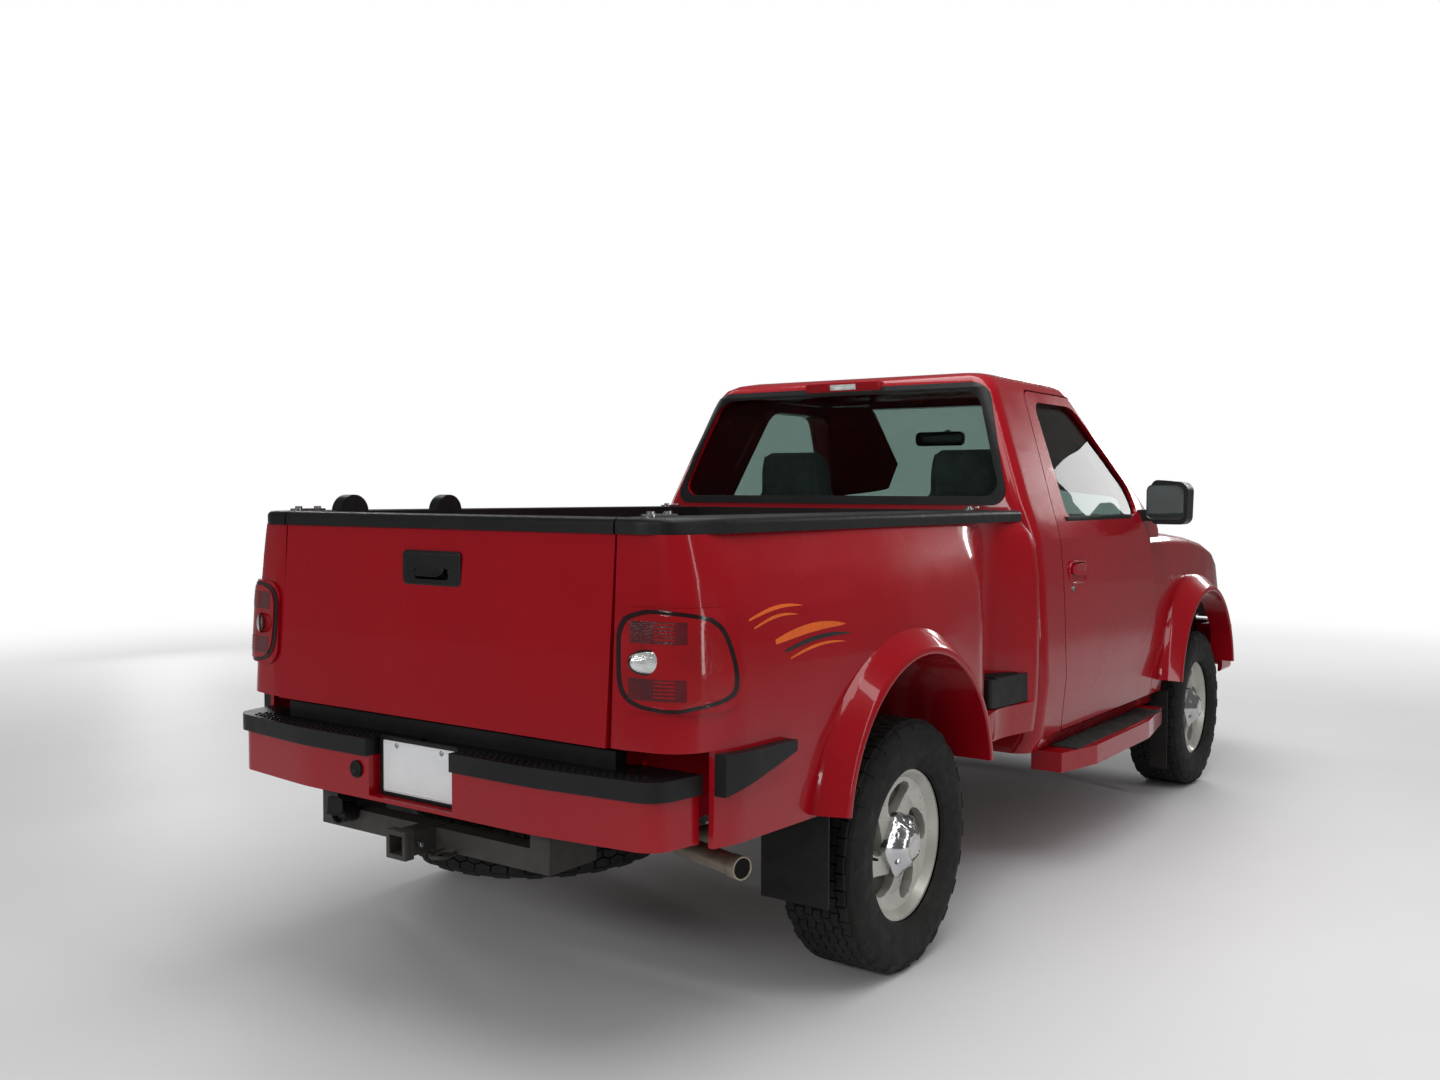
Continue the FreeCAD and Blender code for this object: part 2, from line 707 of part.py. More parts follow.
def clip_form(inset, drop=0.0):
    """Hood and fender form, drawn in by the inset, its open underside moved down by the drop."""
    rings = []
    for index in range(CLIP_RINGS):
        along = (index / (CLIP_RINGS - 1)) ** 2
        width = 1 - NOSE_TAPER_SHARE * (1 - along) ** 8
        rise = 1 - (1 - along) ** 3
        y = mix(d.nose_y + inset, clip_rear_y, along)
        half = d.body_half_width * width - inset
        top = mix(d.hood_front_height, d.hood_rear_height, rise) - inset
        low = d.door_bottom_height - drop
        side = [(half * 0.975, low), (half, d.crease_height),
                (half * 0.985, (low + top) / 2 + crown_drop),
                (half * 0.955, top - shoulder_drop), (half * 0.79, top - crown_drop)]
        corners = side + [(0, top)] + [(-x, z) for x, z in reversed(side)]
        side_trims = [0, 0, 0, shoulder_drop * 0.9, shoulder_drop]
        trims = side_trims + [half * 0.5] + list(reversed(side_trims))
        rings.append(rounded([vec(x, y, z) for x, z in corners], trims))
    return loft(rings)


clip_outer = clip_form(0)
clip_shell = clip_outer.cut(clip_form(d.panel_wall, d.overrun))
arch_front_y = d.front_axle_y - d.arch_radius
nose_cut = block(-outer_x, outer_x, d.nose_y - d.overrun, arch_front_y + d.arch_radius * 0.3,
                 0, d.nose_bottom_height)
lamp_low = d.nose_bottom_height + d.panel_wall
lamp_high = d.hood_front_height - shoulder_drop - d.panel_wall
hood_line = lamp_high + d.panel_wall


def hood_prism(grow):
    """Upright block that the hood is cut from."""
    front_half = d.hood_half_width * 0.97 + grow
    rear_half = d.hood_half_width + grow
    outline = [(front_half, d.nose_y - d.overrun), (rear_half, hood_rear_y + grow),
               (-rear_half, hood_rear_y + grow), (-front_half, d.nose_y - d.overrun)]
    return prism_z(outline, [0] * 4, hood_line - grow, d.roof_height)


def wheel_arch(axle_y, radius):
    """Round opening over a wheel, on the left side."""
    start = vec(d.bed_half_width + d.seat_gap, axle_y, d.arch_centre_height)
    return rod(start, start + vec(outer_x, 0, 0), radius)


def flare(axle_y, body_x):
    """Swelled lip round a wheel opening, turned about its centre."""
    centre_z = d.arch_centre_height
    edge = d.arch_half_width
    root = body_x - d.panel_wall * 3
    inner = d.arch_radius
    profile = [(root, inner), (edge, inner), (edge, inner + d.flare_width * 0.25),
               (mix(root, edge, 0.45), inner + d.flare_width), (root, inner + d.flare_width)]
    trims = [0, d.flare_width * 0.08, d.flare_width * 0.14, d.flare_width * 0.3, 0]
    wire = rounded([vec(x, axle_y - r, centre_z) for x, r in profile], trims)
    start_angle = math.degrees((d.bed_side_bottom_height - centre_z) / d.arch_radius)
    face = Part.Face(wire)
    axis_base = vec(0, axle_y, centre_z)
    face.rotate(axis_base, vec(-1, 0, 0), start_angle)
    return face.revolve(axis_base, vec(-1, 0, 0), 180 - start_angle * 2)


front_arch = wheel_arch(d.front_axle_y, d.arch_radius)
front_arch_room = block(d.bed_half_width + d.seat_gap, outer_x + d.overrun,
                        d.front_axle_y - d.arch_radius, d.front_axle_y + d.arch_radius,
                        0, d.arch_centre_height)
nose_opening_outline = [(d.nose_half_width, d.nose_bottom_height - d.overrun),
                        (d.nose_half_width, lamp_high), (-d.nose_half_width, lamp_high),
                        (-d.nose_half_width, d.nose_bottom_height - d.overrun)]
nose_opening = prism_y(nose_opening_outline, [0, d.panel_wall * 2, d.panel_wall * 2, 0],
                       d.nose_y - d.overrun, d.nose_y + d.nose_setback)
left_half = block(0, outer_x + d.overrun, d.nose_y - d.overrun, d.cab_rear_y, 0, d.roof_height)
cowl_side = block(-outer_x, fender_inner_x + d.panel_gap, cowl_front_y - d.seat_gap, d.cab_rear_y,
                  0, d.roof_height)
fender_panel = clip_shell.common(left_half).cut([hood_prism(d.panel_gap), front_arch, front_arch_room,
                                                 nose_cut, nose_opening, cowl_side])
front_flare = flare(d.front_axle_y, d.body_half_width)
front_flare = front_flare.cut(clip_form(d.panel_wall, d.overrun))
front_fender = fender_panel.fuse(front_flare)
hood = clip_shell.common(hood_prism(0))
hood_strap = block(hinge_x - d.panel_wall, hinge_x, hinge_front_y, hood_rear_y - d.panel_gap / 2,
                   bulkhead_top + d.panel_gap, d.roof_height).common(clip_form(d.panel_wall / 2))
hood = hood.fuse([hood_strap, mirrored(hood_strap)])
shaped(hood, "hood")

# Grille, lamps and the panel under them fill the nose opening
lamp_depth = d.nose_setback
grille_half = d.nose_half_width * 0.62
nose_room = clip_form(0).cut(clip_form(lamp_depth, d.overrun))
lamp_outline = [(grille_half + d.panel_gap, lamp_low), (outer_x, lamp_low),
                (outer_x, lamp_high - d.panel_gap), (grille_half + d.panel_gap, lamp_high - d.panel_gap)]
lamp_prism = prism_y(lamp_outline, [d.panel_wall] * 4, d.nose_y - d.overrun, d.nose_y + lamp_depth * 1.9)
head_lamp = max(nose_room.common(lamp_prism).Solids, key=lambda solid: solid.Volume)
front_fender = front_fender.cut(prism_y([(grille_half, lamp_low - d.seat_gap),
                                         (outer_x, lamp_low - d.seat_gap),
                                         (outer_x, lamp_high), (grille_half, lamp_high)],
                                        [0] * 4, d.nose_y - d.overrun,
                                        d.nose_y + lamp_depth * 1.9 + d.seat_gap))
front_fender = max(front_fender.Solids, key=lambda solid: solid.Volume)
shaped(front_fender, "left_fender")
shaped(mirrored(front_fender), "right_fender")
shaped(both_sides(head_lamp), "headlamps")

BAR_COUNT = 4
RIB_COUNT = 11
grille_top = lamp_high - d.panel_gap
grille_front = d.nose_y + d.panel_wall * 0.5
bar_height = (grille_top - lamp_low) * 0.05
grille_rim = bar_height * 2.2
grille_deep = d.panel_wall * 2.4
rim_outer = [(grille_half, lamp_low), (grille_half, grille_top),
             (-grille_half, grille_top), (-grille_half, lamp_low)]
grille = prism_y(rim_outer, [d.panel_wall * 2] * 4, grille_front, grille_front + grille_deep)
rim_inner = [(x - math.copysign(grille_rim, x),
              z + math.copysign(grille_rim, (lamp_low + grille_top) / 2 - z))
             for x, z in rim_outer]
grille_hole = prism_y(rim_inner, [d.panel_wall] * 4, grille_front, grille_front + grille_deep)
bars = []
for index in range(BAR_COUNT):
    bar_z = mix(lamp_low + grille_rim, grille_top - grille_rim, (index + 1) / (BAR_COUNT + 1))
    bars.append(block(-grille_half + grille_rim / 2, grille_half - grille_rim / 2,
                      grille_front + bar_height, grille_front + grille_deep,
                      bar_z - bar_height, bar_z + bar_height))
for index in range(RIB_COUNT):
    rib_x = mix(-grille_half, grille_half, (index + 1) / (RIB_COUNT + 1))
    bars.append(block(rib_x - bar_height / 2, rib_x + bar_height / 2,
                      grille_front + bar_height * 2, grille_front + grille_deep,
                      lamp_low + grille_rim / 2, grille_top - grille_rim / 2))
grille = grille.cut(grille_hole).multiFuse(bars)
shaped(grille, "grille")

# Radiator support: the upright panel that holds the grille and lamps, open at the middle
support_front = d.nose_y + lamp_depth * 1.9 + d.seat_gap * 2
support_wall = d.cab_wall
support_outline = [(d.hood_half_width, d.bumper_top_height * 0.72),
                   (d.hood_half_width * 0.98, lamp_high), (-d.hood_half_width * 0.98, lamp_high),
                   (-d.hood_half_width, d.bumper_top_height * 0.72)]
support = prism_y(support_outline, [0] * 4, support_front, support_front + support_wall)
radiator_hole = block(-grille_half * 0.7, grille_half * 0.7, support_front, support_front + support_wall,
                      d.nose_bottom_height, grille_top - grille_rim)
grille_arms = [block(x - support_wall / 2, x + support_wall / 2, grille_front + grille_deep + d.seat_gap,
                     support_front, z - support_wall / 2, z + support_wall / 2)
               for x in (-grille_half * 0.85, grille_half * 0.85) for z in (lamp_low * 1.04,)]
lamp_arms = [block(x - support_wall / 2, x + support_wall / 2, d.nose_y + lamp_depth + d.seat_gap,
                   support_front, z - support_wall / 2, z + support_wall / 2)
             for x in (-grille_half * 1.15, grille_half * 1.15) for z in ((lamp_low + lamp_high) / 2,)]
lamp_room = both_sides(head_lamp)
support = support.cut(radiator_hole).multiFuse(grille_arms + lamp_arms).cut(lamp_room)
rail_room = prism_x(rail_outline, [0] * len(rail_outline), -d.frame_half_width, d.frame_half_width)
support = support.cut(rail_room)
shaped(support, "radiator_support")

# Front bumper: a channel that wraps round to the wheel openings
bumper_low = d.bumper_bottom_height * 0.86
bumper_high = d.nose_bottom_height - d.panel_gap
bumper_front = d.front_axle_y - d.front_overhang
bumper_back = arch_front_y - d.flare_width * 1.1


def front_bumper_form(inset, low, high):
    """Plan outline of the front bumper between two heights."""
    half = d.body_half_width - inset
    outline = [(half, bumper_back), (half, bumper_front + d.nose_setback * 2.6),
               (half * 0.86, bumper_front + d.nose_setback * 0.9 + inset),
               (half * 0.30, bumper_front + inset), (-half * 0.30, bumper_front + inset),
               (-half * 0.86, bumper_front + d.nose_setback * 0.9 + inset),
               (-half, bumper_front + d.nose_setback * 2.6), (-half, bumper_back)]
    bow = half * 0.22
    trims = [0, d.nose_setback, d.nose_setback, bow, bow, d.nose_setback, d.nose_setback, 0]
    return prism_z(outline, trims, low, high)


bumper_wall = d.panel_wall * 1.6
front_bumper = front_bumper_form(0, bumper_low, bumper_high)
front_bumper = front_bumper.makeFillet(bumper_wall, [edge for edge in front_bumper.Edges
                                                     if edge.BoundBox.ZLength < d.seat_gap
                                                     and edge.CenterOfMass.y < bumper_back - d.seat_gap])
front_bumper = front_bumper.cut(front_bumper_form(bumper_wall, bumper_low - d.overrun,
                                                  bumper_high - bumper_wall))
intake = prism_y([(grille_half * 0.8, mix(bumper_low, bumper_high, 0.2)),
                  (grille_half * 0.8, mix(bumper_low, bumper_high, 0.52)),
                  (-grille_half * 0.8, mix(bumper_low, bumper_high, 0.52)),
                  (-grille_half * 0.8, mix(bumper_low, bumper_high, 0.2))],
                 [bumper_wall] * 4, bumper_front - d.overrun, bumper_front + d.nose_setback * 1.8)
bumper_opening = front_bumper_form(d.nose_setback * 1.6, bumper_low, bumper_high + d.overrun)
front_bumper = front_bumper.cut([intake, bumper_opening])
bumper_iron_y = frame_front
irons = [block(min(x, x + d.frame_rail_width), max(x, x + d.frame_rail_width),
               bumper_front + bumper_wall * 2, bumper_iron_y,
               rail_line[0][1] - d.frame_rail_depth * 0.85, rail_line[0][1] - d.frame_rail_depth * 0.15)
         for x in (rail_x, -d.frame_half_width)]
iron_bar = block(-d.frame_half_width, d.frame_half_width, bumper_front + bumper_wall * 1.6,
                 bumper_front + bumper_wall * 4,
                 rail_line[0][1] - d.frame_rail_depth * 0.85, rail_line[0][1] - d.frame_rail_depth * 0.15)
front_bumper = front_bumper.multiFuse(irons + [iron_bar])
shaped(front_bumper, "front_bumper")

# Load bed: floor and walls pressed as one tub, open at the back for the tailgate
tail_lean = d.tailgate_wall * 0.65
tub_rear_y = d.bed_rear_y - d.tailgate_wall - tail_lean - d.panel_gap
tub_top = d.bed_rail_height
tub = block(-d.bed_half_width, d.bed_half_width, d.bed_front_y, tub_rear_y,
            d.bed_floor_height - d.bed_wall, tub_top)
tub_room = block(-d.bed_half_width + d.bed_wall, d.bed_half_width - d.bed_wall,
                 d.bed_front_y + d.bed_wall, tub_rear_y + d.overrun,
                 d.bed_floor_height, tub_top + d.overrun)
FLOOR_RIBS = 9
rib_height = d.bed_wall * 0.45
rib_pitch = (d.bed_half_width - d.bed_wall) * 2 / FLOOR_RIBS
ribs = []
for index in range(FLOOR_RIBS):
    middle_x = -d.bed_half_width + d.bed_wall + rib_pitch * (index + 0.5)
    ribs.append(block(middle_x - rib_pitch / 4, middle_x + rib_pitch / 4,
                      d.bed_front_y + d.bed_wall * 3, tub_rear_y - d.bed_wall,
                      d.bed_floor_height, d.bed_floor_height + rib_height))
sills = []
for share in (0.06, 0.34, 0.62, 0.93):
    sill_y = mix(d.bed_front_y, tub_rear_y, share)
    sill_low = max(rail_top(sill_y - d.crossmember_width / 2), rail_top(sill_y + d.crossmember_width / 2))
    sills.append(block(-d.bed_half_width * 0.94, d.bed_half_width * 0.94,
                       sill_y - d.crossmember_width / 2, sill_y + d.crossmember_width / 2,
                       sill_low, d.bed_floor_height - d.bed_wall))
bed_tub = tub.cut(tub_room).multiFuse(ribs + sills)
shaped(bed_tub, "bed_tub")

# Bed sides: narrow behind the cab, swelling out over the wheel, rounded at the lamp corner
side_root = d.bed_half_width + d.seat_gap
BED_SIDE_SHARES = (
    # shares: of the height, of the swell over the wheel, of the rail's half width at waist and front
    (0.0, 0.93, 1.06, 1.10),
    (0.144, 1.0, 1.07, 1.115),
    (0.150, 1.0, 0.975, 1.115),
    (0.32, 1.03, 0.975, 1.12),
    (0.56, 1.0, 0.975, 1.12),
    (0.74, 0.86, 0.98, 1.115),
    (0.86, 0.60, 0.985, 1.10),
    (0.94, 0.34, 0.99, 1.075),
    (1.0, 0.16, 0.995, 1.03),
)
swell = d.body_half_width - d.rail_half_width
bed_to_axle = d.rear_axle_y - d.bed_front_y
post_rear_y = d.bed_front_y + bed_to_axle * 0.035
waist_front_y = d.bed_front_y + bed_to_axle * 0.20
waist_rear_y = d.bed_front_y + bed_to_axle * 0.28
bulge_front_y = d.bed_front_y + bed_to_axle * 0.46
lamp_corner = (d.bed_rear_y - d.rear_axle_y) * 0.19


def bed_side_form(grow, drop=0.0):
    """Plan sections of the left bed side, grown outwards, its underside moved down by the drop."""
    rings = []
    inner = side_root + max(0, -grow)
    for rise, bulge, waist, front in BED_SIDE_SHARES:
        z = mix(d.bed_side_bottom_height - drop, d.bed_rail_height + min(0, grow), rise)
        waist_x = d.rail_half_width * waist + grow
        front_x = d.rail_half_width * front + grow
        side_x = d.rail_half_width + (swell + d.panel_wall) * bulge + grow
        rear = d.bed_rear_y - tail_lean * rise + grow
        front_y = d.bed_front_y + max(0, -grow)
        outline = [(inner, front_y), (front_x, front_y), (front_x, post_rear_y), (waist_x, waist_front_y),
                   (waist_x, waist_rear_y), (side_x - swell * bulge * 0.1, bulge_front_y),
                   (side_x + swell * bulge * 0.15, d.rear_axle_y),
                   (side_x - swell * bulge * 0.32, d.bed_rear_y - lamp_corner),
                   (side_x - swell * bulge * 0.92, rear - lamp_corner * 0.12),
                   (inner + lamp_corner * 0.20, rear), (inner, rear)]
        post = (post_rear_y - d.bed_front_y) * 0.3
        waist_trim = (waist_rear_y - waist_front_y) * 0.45
        trims = [0, post, post, waist_trim, waist_trim, waist_trim * 2, lamp_corner,
                 lamp_corner * 0.20, lamp_corner * 0.34, 0, 0]
        rings.append(rounded([vec(x, y, z) for x, y in outline], trims))
    return loft(rings)


bed_side = bed_side_form(0)
rear_arch = wheel_arch(d.rear_axle_y, d.arch_radius)
rear_arch_room = block(side_root, outer_x + d.overrun, d.rear_axle_y - d.arch_radius,
                       d.rear_axle_y + d.arch_radius, 0, d.arch_centre_height)
bumper_room = block(side_root - d.overrun, outer_x + d.overrun,
                    d.bumper_face_y - d.bumper_half_width * 0.24,
                    d.bumper_face_y + d.overrun, 0, d.bed_floor_height)
rear_flare = flare(d.rear_axle_y, d.body_half_width)
bed_side = bed_side.cut([rear_arch, rear_arch_room, bumper_room])
rear_flare = rear_flare.cut(bed_side)
bed_room = bed_side_form(-d.panel_wall, d.overrun).cut([
    wheel_arch(d.rear_axle_y, d.arch_radius + d.panel_wall),
    block(side_root, outer_x + d.overrun, d.rear_axle_y - d.arch_radius - d.panel_wall,
          d.rear_axle_y + d.arch_radius + d.panel_wall, 0, d.arch_centre_height)])
bed_side = bed_side.cut(bed_room).fuse(rear_flare)

# Tail lamps stand a little proud of the corners; the third is on the cab's roof edge
tail_low = mix(d.bed_side_bottom_height, d.bed_rail_height, 0.44)
tail_high = mix(d.bed_side_bottom_height, d.bed_rail_height, 0.77)
tail_front_y = d.bed_rear_y - lamp_corner * 1.02
tail_inner_x = side_root + d.panel_wall


def tail_lamp_prism(grow):
    """Rounded block that cuts the lamp out of the corner."""
    low, high = tail_low - grow, tail_high + grow
    corner = (tail_high - tail_low) * 0.22
    across = prism_y([(tail_inner_x - grow, low), (outer_x, low), (outer_x, high),
                      (tail_inner_x - grow, high)],
                     [corner, 0, 0, corner], d.rear_axle_y, d.bumper_face_y + d.overrun)
    along = prism_x([(tail_front_y - grow, low), (d.bumper_face_y + d.overrun, low),
                     (d.bumper_face_y + d.overrun, high), (tail_front_y - grow, high)],
                    [corner, 0, 0, corner], side_root - d.overrun, outer_x)
    return across.common(along)


lamp_proud = d.panel_wall * 0.6
tail_lamp_core = bed_side_form(-lamp_proud * 3)
tail_lamp = bed_side_form(lamp_proud).common(tail_lamp_prism(0)).cut(tail_lamp_core)
bed_side = bed_side.cut(tail_lamp_prism(d.seat_gap).cut(tail_lamp_core))
shaped(bed_side, "left_bed_side")
shaped(mirrored(bed_side), "right_bed_side")

# Tailgate: a padded side outline with a leaning outer face
tailgate = doc.addObject("PartDesign::Body", "tailgate_body")
tailgate_sketch = sketch_on(tailgate, "YZ_Plane", "tailgate_outline")
TAIL_LEAN = "tailgate_wall * 0.65"
draw_outline(tailgate_sketch, (
    ("bed_rear_y - tailgate_wall - " + TAIL_LEAN, "bed_floor_height"),
    ("bed_rear_y", "bed_floor_height"),
    ("bed_rear_y - " + TAIL_LEAN, "bed_rail_height"),
    ("bed_rear_y - tailgate_wall - " + TAIL_LEAN, "bed_rail_height"),
))
tailgate_pad = tailgate.newObject("PartDesign::Pad", "tailgate_pad")
tailgate_pad.Profile = tailgate_sketch
tailgate_pad.Midplane = True
bind(tailgate_pad, Length="2 * bed_half_width - 2 * panel_gap")
tailgate.Tip = tailgate_pad
doc.recompute()
handle_sketch = sketch_on(tailgate, "XZ_Plane", "handle_recess_outline")
draw_outline(handle_sketch, (
    ("-tailgate_wall * 1.9", "bed_rail_height - tailgate_wall * 2.6"),
    ("tailgate_wall * 1.9", "bed_rail_height - tailgate_wall * 2.6"),
    ("tailgate_wall * 1.9", "bed_rail_height - tailgate_wall * 1.1"),
    ("-tailgate_wall * 1.9", "bed_rail_height - tailgate_wall * 1.1"),
))
handle_sketch.setExpression("AttachmentOffset.Base.z", sized("tailgate_wall * 1.1 - bed_rear_y"))
handle_recess = tailgate.newObject("PartDesign::Pocket", "handle_recess")
handle_recess.Profile = handle_sketch
handle_recess.Type = "ThroughAll"
tailgate.Tip = handle_recess
doc.recompute()
node(tailgate, "tailgate")
tailgate_half = d.bed_half_width - d.panel_gap
tailgate_inner_y = d.bed_rear_y - d.tailgate_wall - tail_lean
tailgate_outer_top_y = d.bed_rear_y - tail_lean
cap_height = d.tailgate_wall * 0.7
cap_lip = d.panel_wall * 0.6

# Tailgate trim: the moulded cap along its top and the handle in its recess
cap_profile = [(tailgate_inner_y - cap_lip, tub_top + d.seat_gap),
               (tailgate_outer_top_y + cap_lip, tub_top + d.seat_gap),
               (tailgate_outer_top_y + cap_lip, tub_top + cap_height),
               (tailgate_inner_y - cap_lip, tub_top + cap_height)]
tailgate_cap = prism_x(cap_profile, [0, 0, cap_height * 0.45, cap_height * 0.3],
                       -tailgate_half, tailgate_half)
handle_low = d.bed_rail_height - d.tailgate_wall * 2.6
handle_high = d.bed_rail_height - d.tailgate_wall * 1.1
handle_half = d.tailgate_wall * 1.9 - d.seat_gap
handle_back_y = tailgate_outer_top_y - d.tailgate_wall * 0.45 + d.seat_gap
handle_face_y = mix(d.bed_rear_y, tailgate_outer_top_y, 0.8) + d.panel_wall * 0.3
bezel_outline = [(-handle_half, handle_low + d.seat_gap), (handle_half, handle_low + d.seat_gap),
                 (handle_half, handle_high - d.seat_gap), (-handle_half, handle_high - d.seat_gap)]
bezel = prism_y(bezel_outline, [d.panel_wall] * 4, handle_back_y, handle_face_y)
finger_room = prism_y([(-handle_half * 0.62, mix(handle_low, handle_high, 0.14)),
                       (handle_half * 0.62, mix(handle_low, handle_high, 0.14)),
                       (handle_half * 0.62, mix(handle_low, handle_high, 0.50)),
                       (-handle_half * 0.62, mix(handle_low, handle_high, 0.50))],
                      [d.panel_wall * 0.8] * 4, handle_back_y + d.panel_wall * 0.4,
                      handle_face_y + d.overrun)
shaped(Part.makeCompound([tailgate_cap, bezel.cut(finger_room)]), "tailgate_trim")

# Rail caps: moulded strips on the tub's three walls, with two rounded clamps on the left
cap_inner_x = d.bed_half_width - d.bed_wall - cap_lip


def rail_cap_plan(grow, low, high):
    """Plan of one rail cap, following the bed side's top edge."""
    rise, bulge, waist, front = BED_SIDE_SHARES[-1]
    side_x = d.rail_half_width + (swell + d.panel_wall) * bulge + grow
    rear = d.bed_rear_y - tail_lean * rise + grow
    outline = [(cap_inner_x, d.bed_front_y), (side_x, d.bed_front_y),
               (side_x, d.bed_rear_y - lamp_corner),
               (side_x - lamp_corner * 0.25, rear - lamp_corner * 0.2),
               (side_root + lamp_corner * 0.4, rear), (cap_inner_x, rear)]
    trims = [0, d.panel_wall, lamp_corner * 0.35, lamp_corner * 0.14, lamp_corner * 0.10, 0]
    return prism_z(outline, trims, low, high)


rail_cap = rail_cap_plan(cap_lip, tub_top + d.seat_gap, tub_top + cap_height)
rail_cap = rail_cap.makeFillet(cap_height * 0.4, [edge for edge in rail_cap.Edges
                                                  if edge.BoundBox.ZMin > tub_top + cap_height - d.seat_gap
                                                  and edge.CenterOfMass.x > side_root
                                                  and edge.BoundBox.YMax < d.bed_rear_y - lamp_corner])
gate_room = block(-side_root, side_root, tailgate_inner_y - cap_lip - d.panel_gap,
                  d.bumper_face_y + d.overrun, d.bed_floor_height, d.roof_height)
rail_cap = rail_cap.cut(gate_room)
front_cap = block(-cap_inner_x, cap_inner_x, d.bed_front_y, d.bed_front_y + d.bed_wall + cap_lip,
                  tub_top + d.seat_gap, tub_top + cap_height)
clamp_radius = cap_height * 1.35
clamps = []
for share in (0.87, 0.68):
    clamp_y = mix(d.bed_front_y, d.bed_rear_y, share)
    clamp = rod(vec(cap_inner_x + cap_lip, clamp_y, tub_top + cap_height * 0.9),
                vec(cap_inner_x + cap_lip + d.bed_wall * 2, clamp_y, tub_top + cap_height * 0.9),
                clamp_radius)
    clamps.append(clamp.cut(block(0, outer_x, clamp_y - clamp_radius * 2, clamp_y + clamp_radius * 2,
                                  0, tub_top + cap_height * 0.7)))
rail_caps = rail_cap.multiFuse([mirrored(rail_cap), front_cap] + clamps)
shaped(rail_caps, "bed_rail_caps")

# Tie-down cleats: four bright metal loops screwed on the rail caps
cleat_length = d.tailgate_wall * 2.0
cleat_height = cap_height * 0.35
cleats = []
for share in (0.05, 0.93):
    cleat_y = mix(d.bed_front_y, d.bed_rear_y, share)
    cleat_x = side_root + d.bed_wall * 2
    base_z = tub_top + cap_height + d.seat_gap
    cleat = prism_z([(cleat_x - d.bed_wall, cleat_y - cleat_length / 2),
                     (cleat_x + d.bed_wall, cleat_y - cleat_length / 2),
                     (cleat_x + d.bed_wall, cleat_y + cleat_length / 2),
                     (cleat_x - d.bed_wall, cleat_y + cleat_length / 2)],
                    [d.bed_wall * 0.8] * 4, base_z, base_z + cleat_height * 0.5)
    for end in (-1, 1):
        cleat = cleat.fuse(rod(vec(cleat_x, cleat_y + end * cleat_length * 0.3, base_z),
                               vec(cleat_x, cleat_y + end * cleat_length * 0.3, base_z + cleat_height),
                               d.bed_wall * 0.5))
    cleats += [cleat, mirrored(cleat)]
shaped(Part.makeCompound(cleats), "tie_down_cleats")

# Rear bumper: a painted channel with a plate recess, a ball hole and brackets to the frame
step_low = mix(d.bumper_bottom_height, d.bumper_top_height, 0.71)
bumper_end_y = d.bumper_face_y - d.bumper_half_width * 0.24 + d.panel_gap
step_front_y = d.bed_rear_y - d.tailgate_wall * 1.9


def rear_bumper_plan(grow, low, high):
    """Plan outline of the rear bumper between two heights."""
    half = d.bumper_half_width + grow
    face = d.bumper_face_y + grow - d.panel_wall
    outline = [(half * 1.03, bumper_end_y), (half, face - d.bumper_half_width * 0.04),
               (half * 0.55, face + d.panel_wall - d.panel_gap), (0, face + d.panel_gap),
               (-half * 0.55, face + d.panel_wall - d.panel_gap),
               (-half, face - d.bumper_half_width * 0.04),
               (-half * 1.03, bumper_end_y),
               (-side_root + grow, bumper_end_y), (-side_root + grow, step_front_y),
               (side_root - grow, step_front_y), (side_root - grow, bumper_end_y)]
    corner = d.bumper_half_width * 0.07
    trims = [0, corner, corner, corner * 2, corner, corner, 0, 0, 0, 0, 0]
    return prism_z(outline, trims, low, high)


rear_bumper = rear_bumper_plan(0, d.bumper_bottom_height, step_low)
rear_room = rear_bumper_plan(-bumper_wall, d.bumper_bottom_height - d.overrun, step_low - bumper_wall)
rear_room = rear_room.fuse(block(-d.bumper_half_width + bumper_wall * 2,
                                 d.bumper_half_width - bumper_wall * 2,
                                 step_front_y - d.overrun,
                                 d.bumper_face_y - d.panel_wall - bumper_wall * 2,
                                 d.bumper_bottom_height - d.overrun, step_low - bumper_wall))
rear_bumper = rear_bumper.cut(rear_room)
plate_half = d.bumper_half_width * 0.205
plate_depth = d.panel_wall * 3.2
plate_room = block(-plate_half, plate_half, d.bumper_face_y - plate_depth, d.bumper_face_y + d.overrun,
                   d.bumper_bottom_height + bumper_wall * 0.5, d.bumper_top_height + d.overrun)
plate_back = block(-plate_half - bumper_wall, plate_half + bumper_wall,
                   d.bumper_face_y - plate_depth - bumper_wall, d.bumper_face_y - d.panel_wall * 1.2,
                   d.bumper_bottom_height, step_low)
rear_bumper = rear_bumper.fuse(plate_back).cut(plate_room)
ball_y = d.bumper_face_y - plate_depth - bumper_wall * 2.6
ball_hole_radius = d.spindle_radius * 0.42
rear_bumper = rear_bumper.cut(rod(vec(0, ball_y, d.bumper_bottom_height),
                                  vec(0, ball_y, d.bumper_top_height), ball_hole_radius))
for x in (rail_x, -d.frame_half_width):
    rear_bumper = rear_bumper.fuse(block(x, x + d.frame_rail_width, frame_rear + d.seat_gap,
                                         d.bumper_face_y - d.panel_wall * 1.4,
                                         rail_line[-1][1] - d.frame_rail_depth * 0.85,
                                         rail_line[-1][1] - d.frame_rail_depth * 0.15))
shaped(rear_bumper, "rear_bumper")

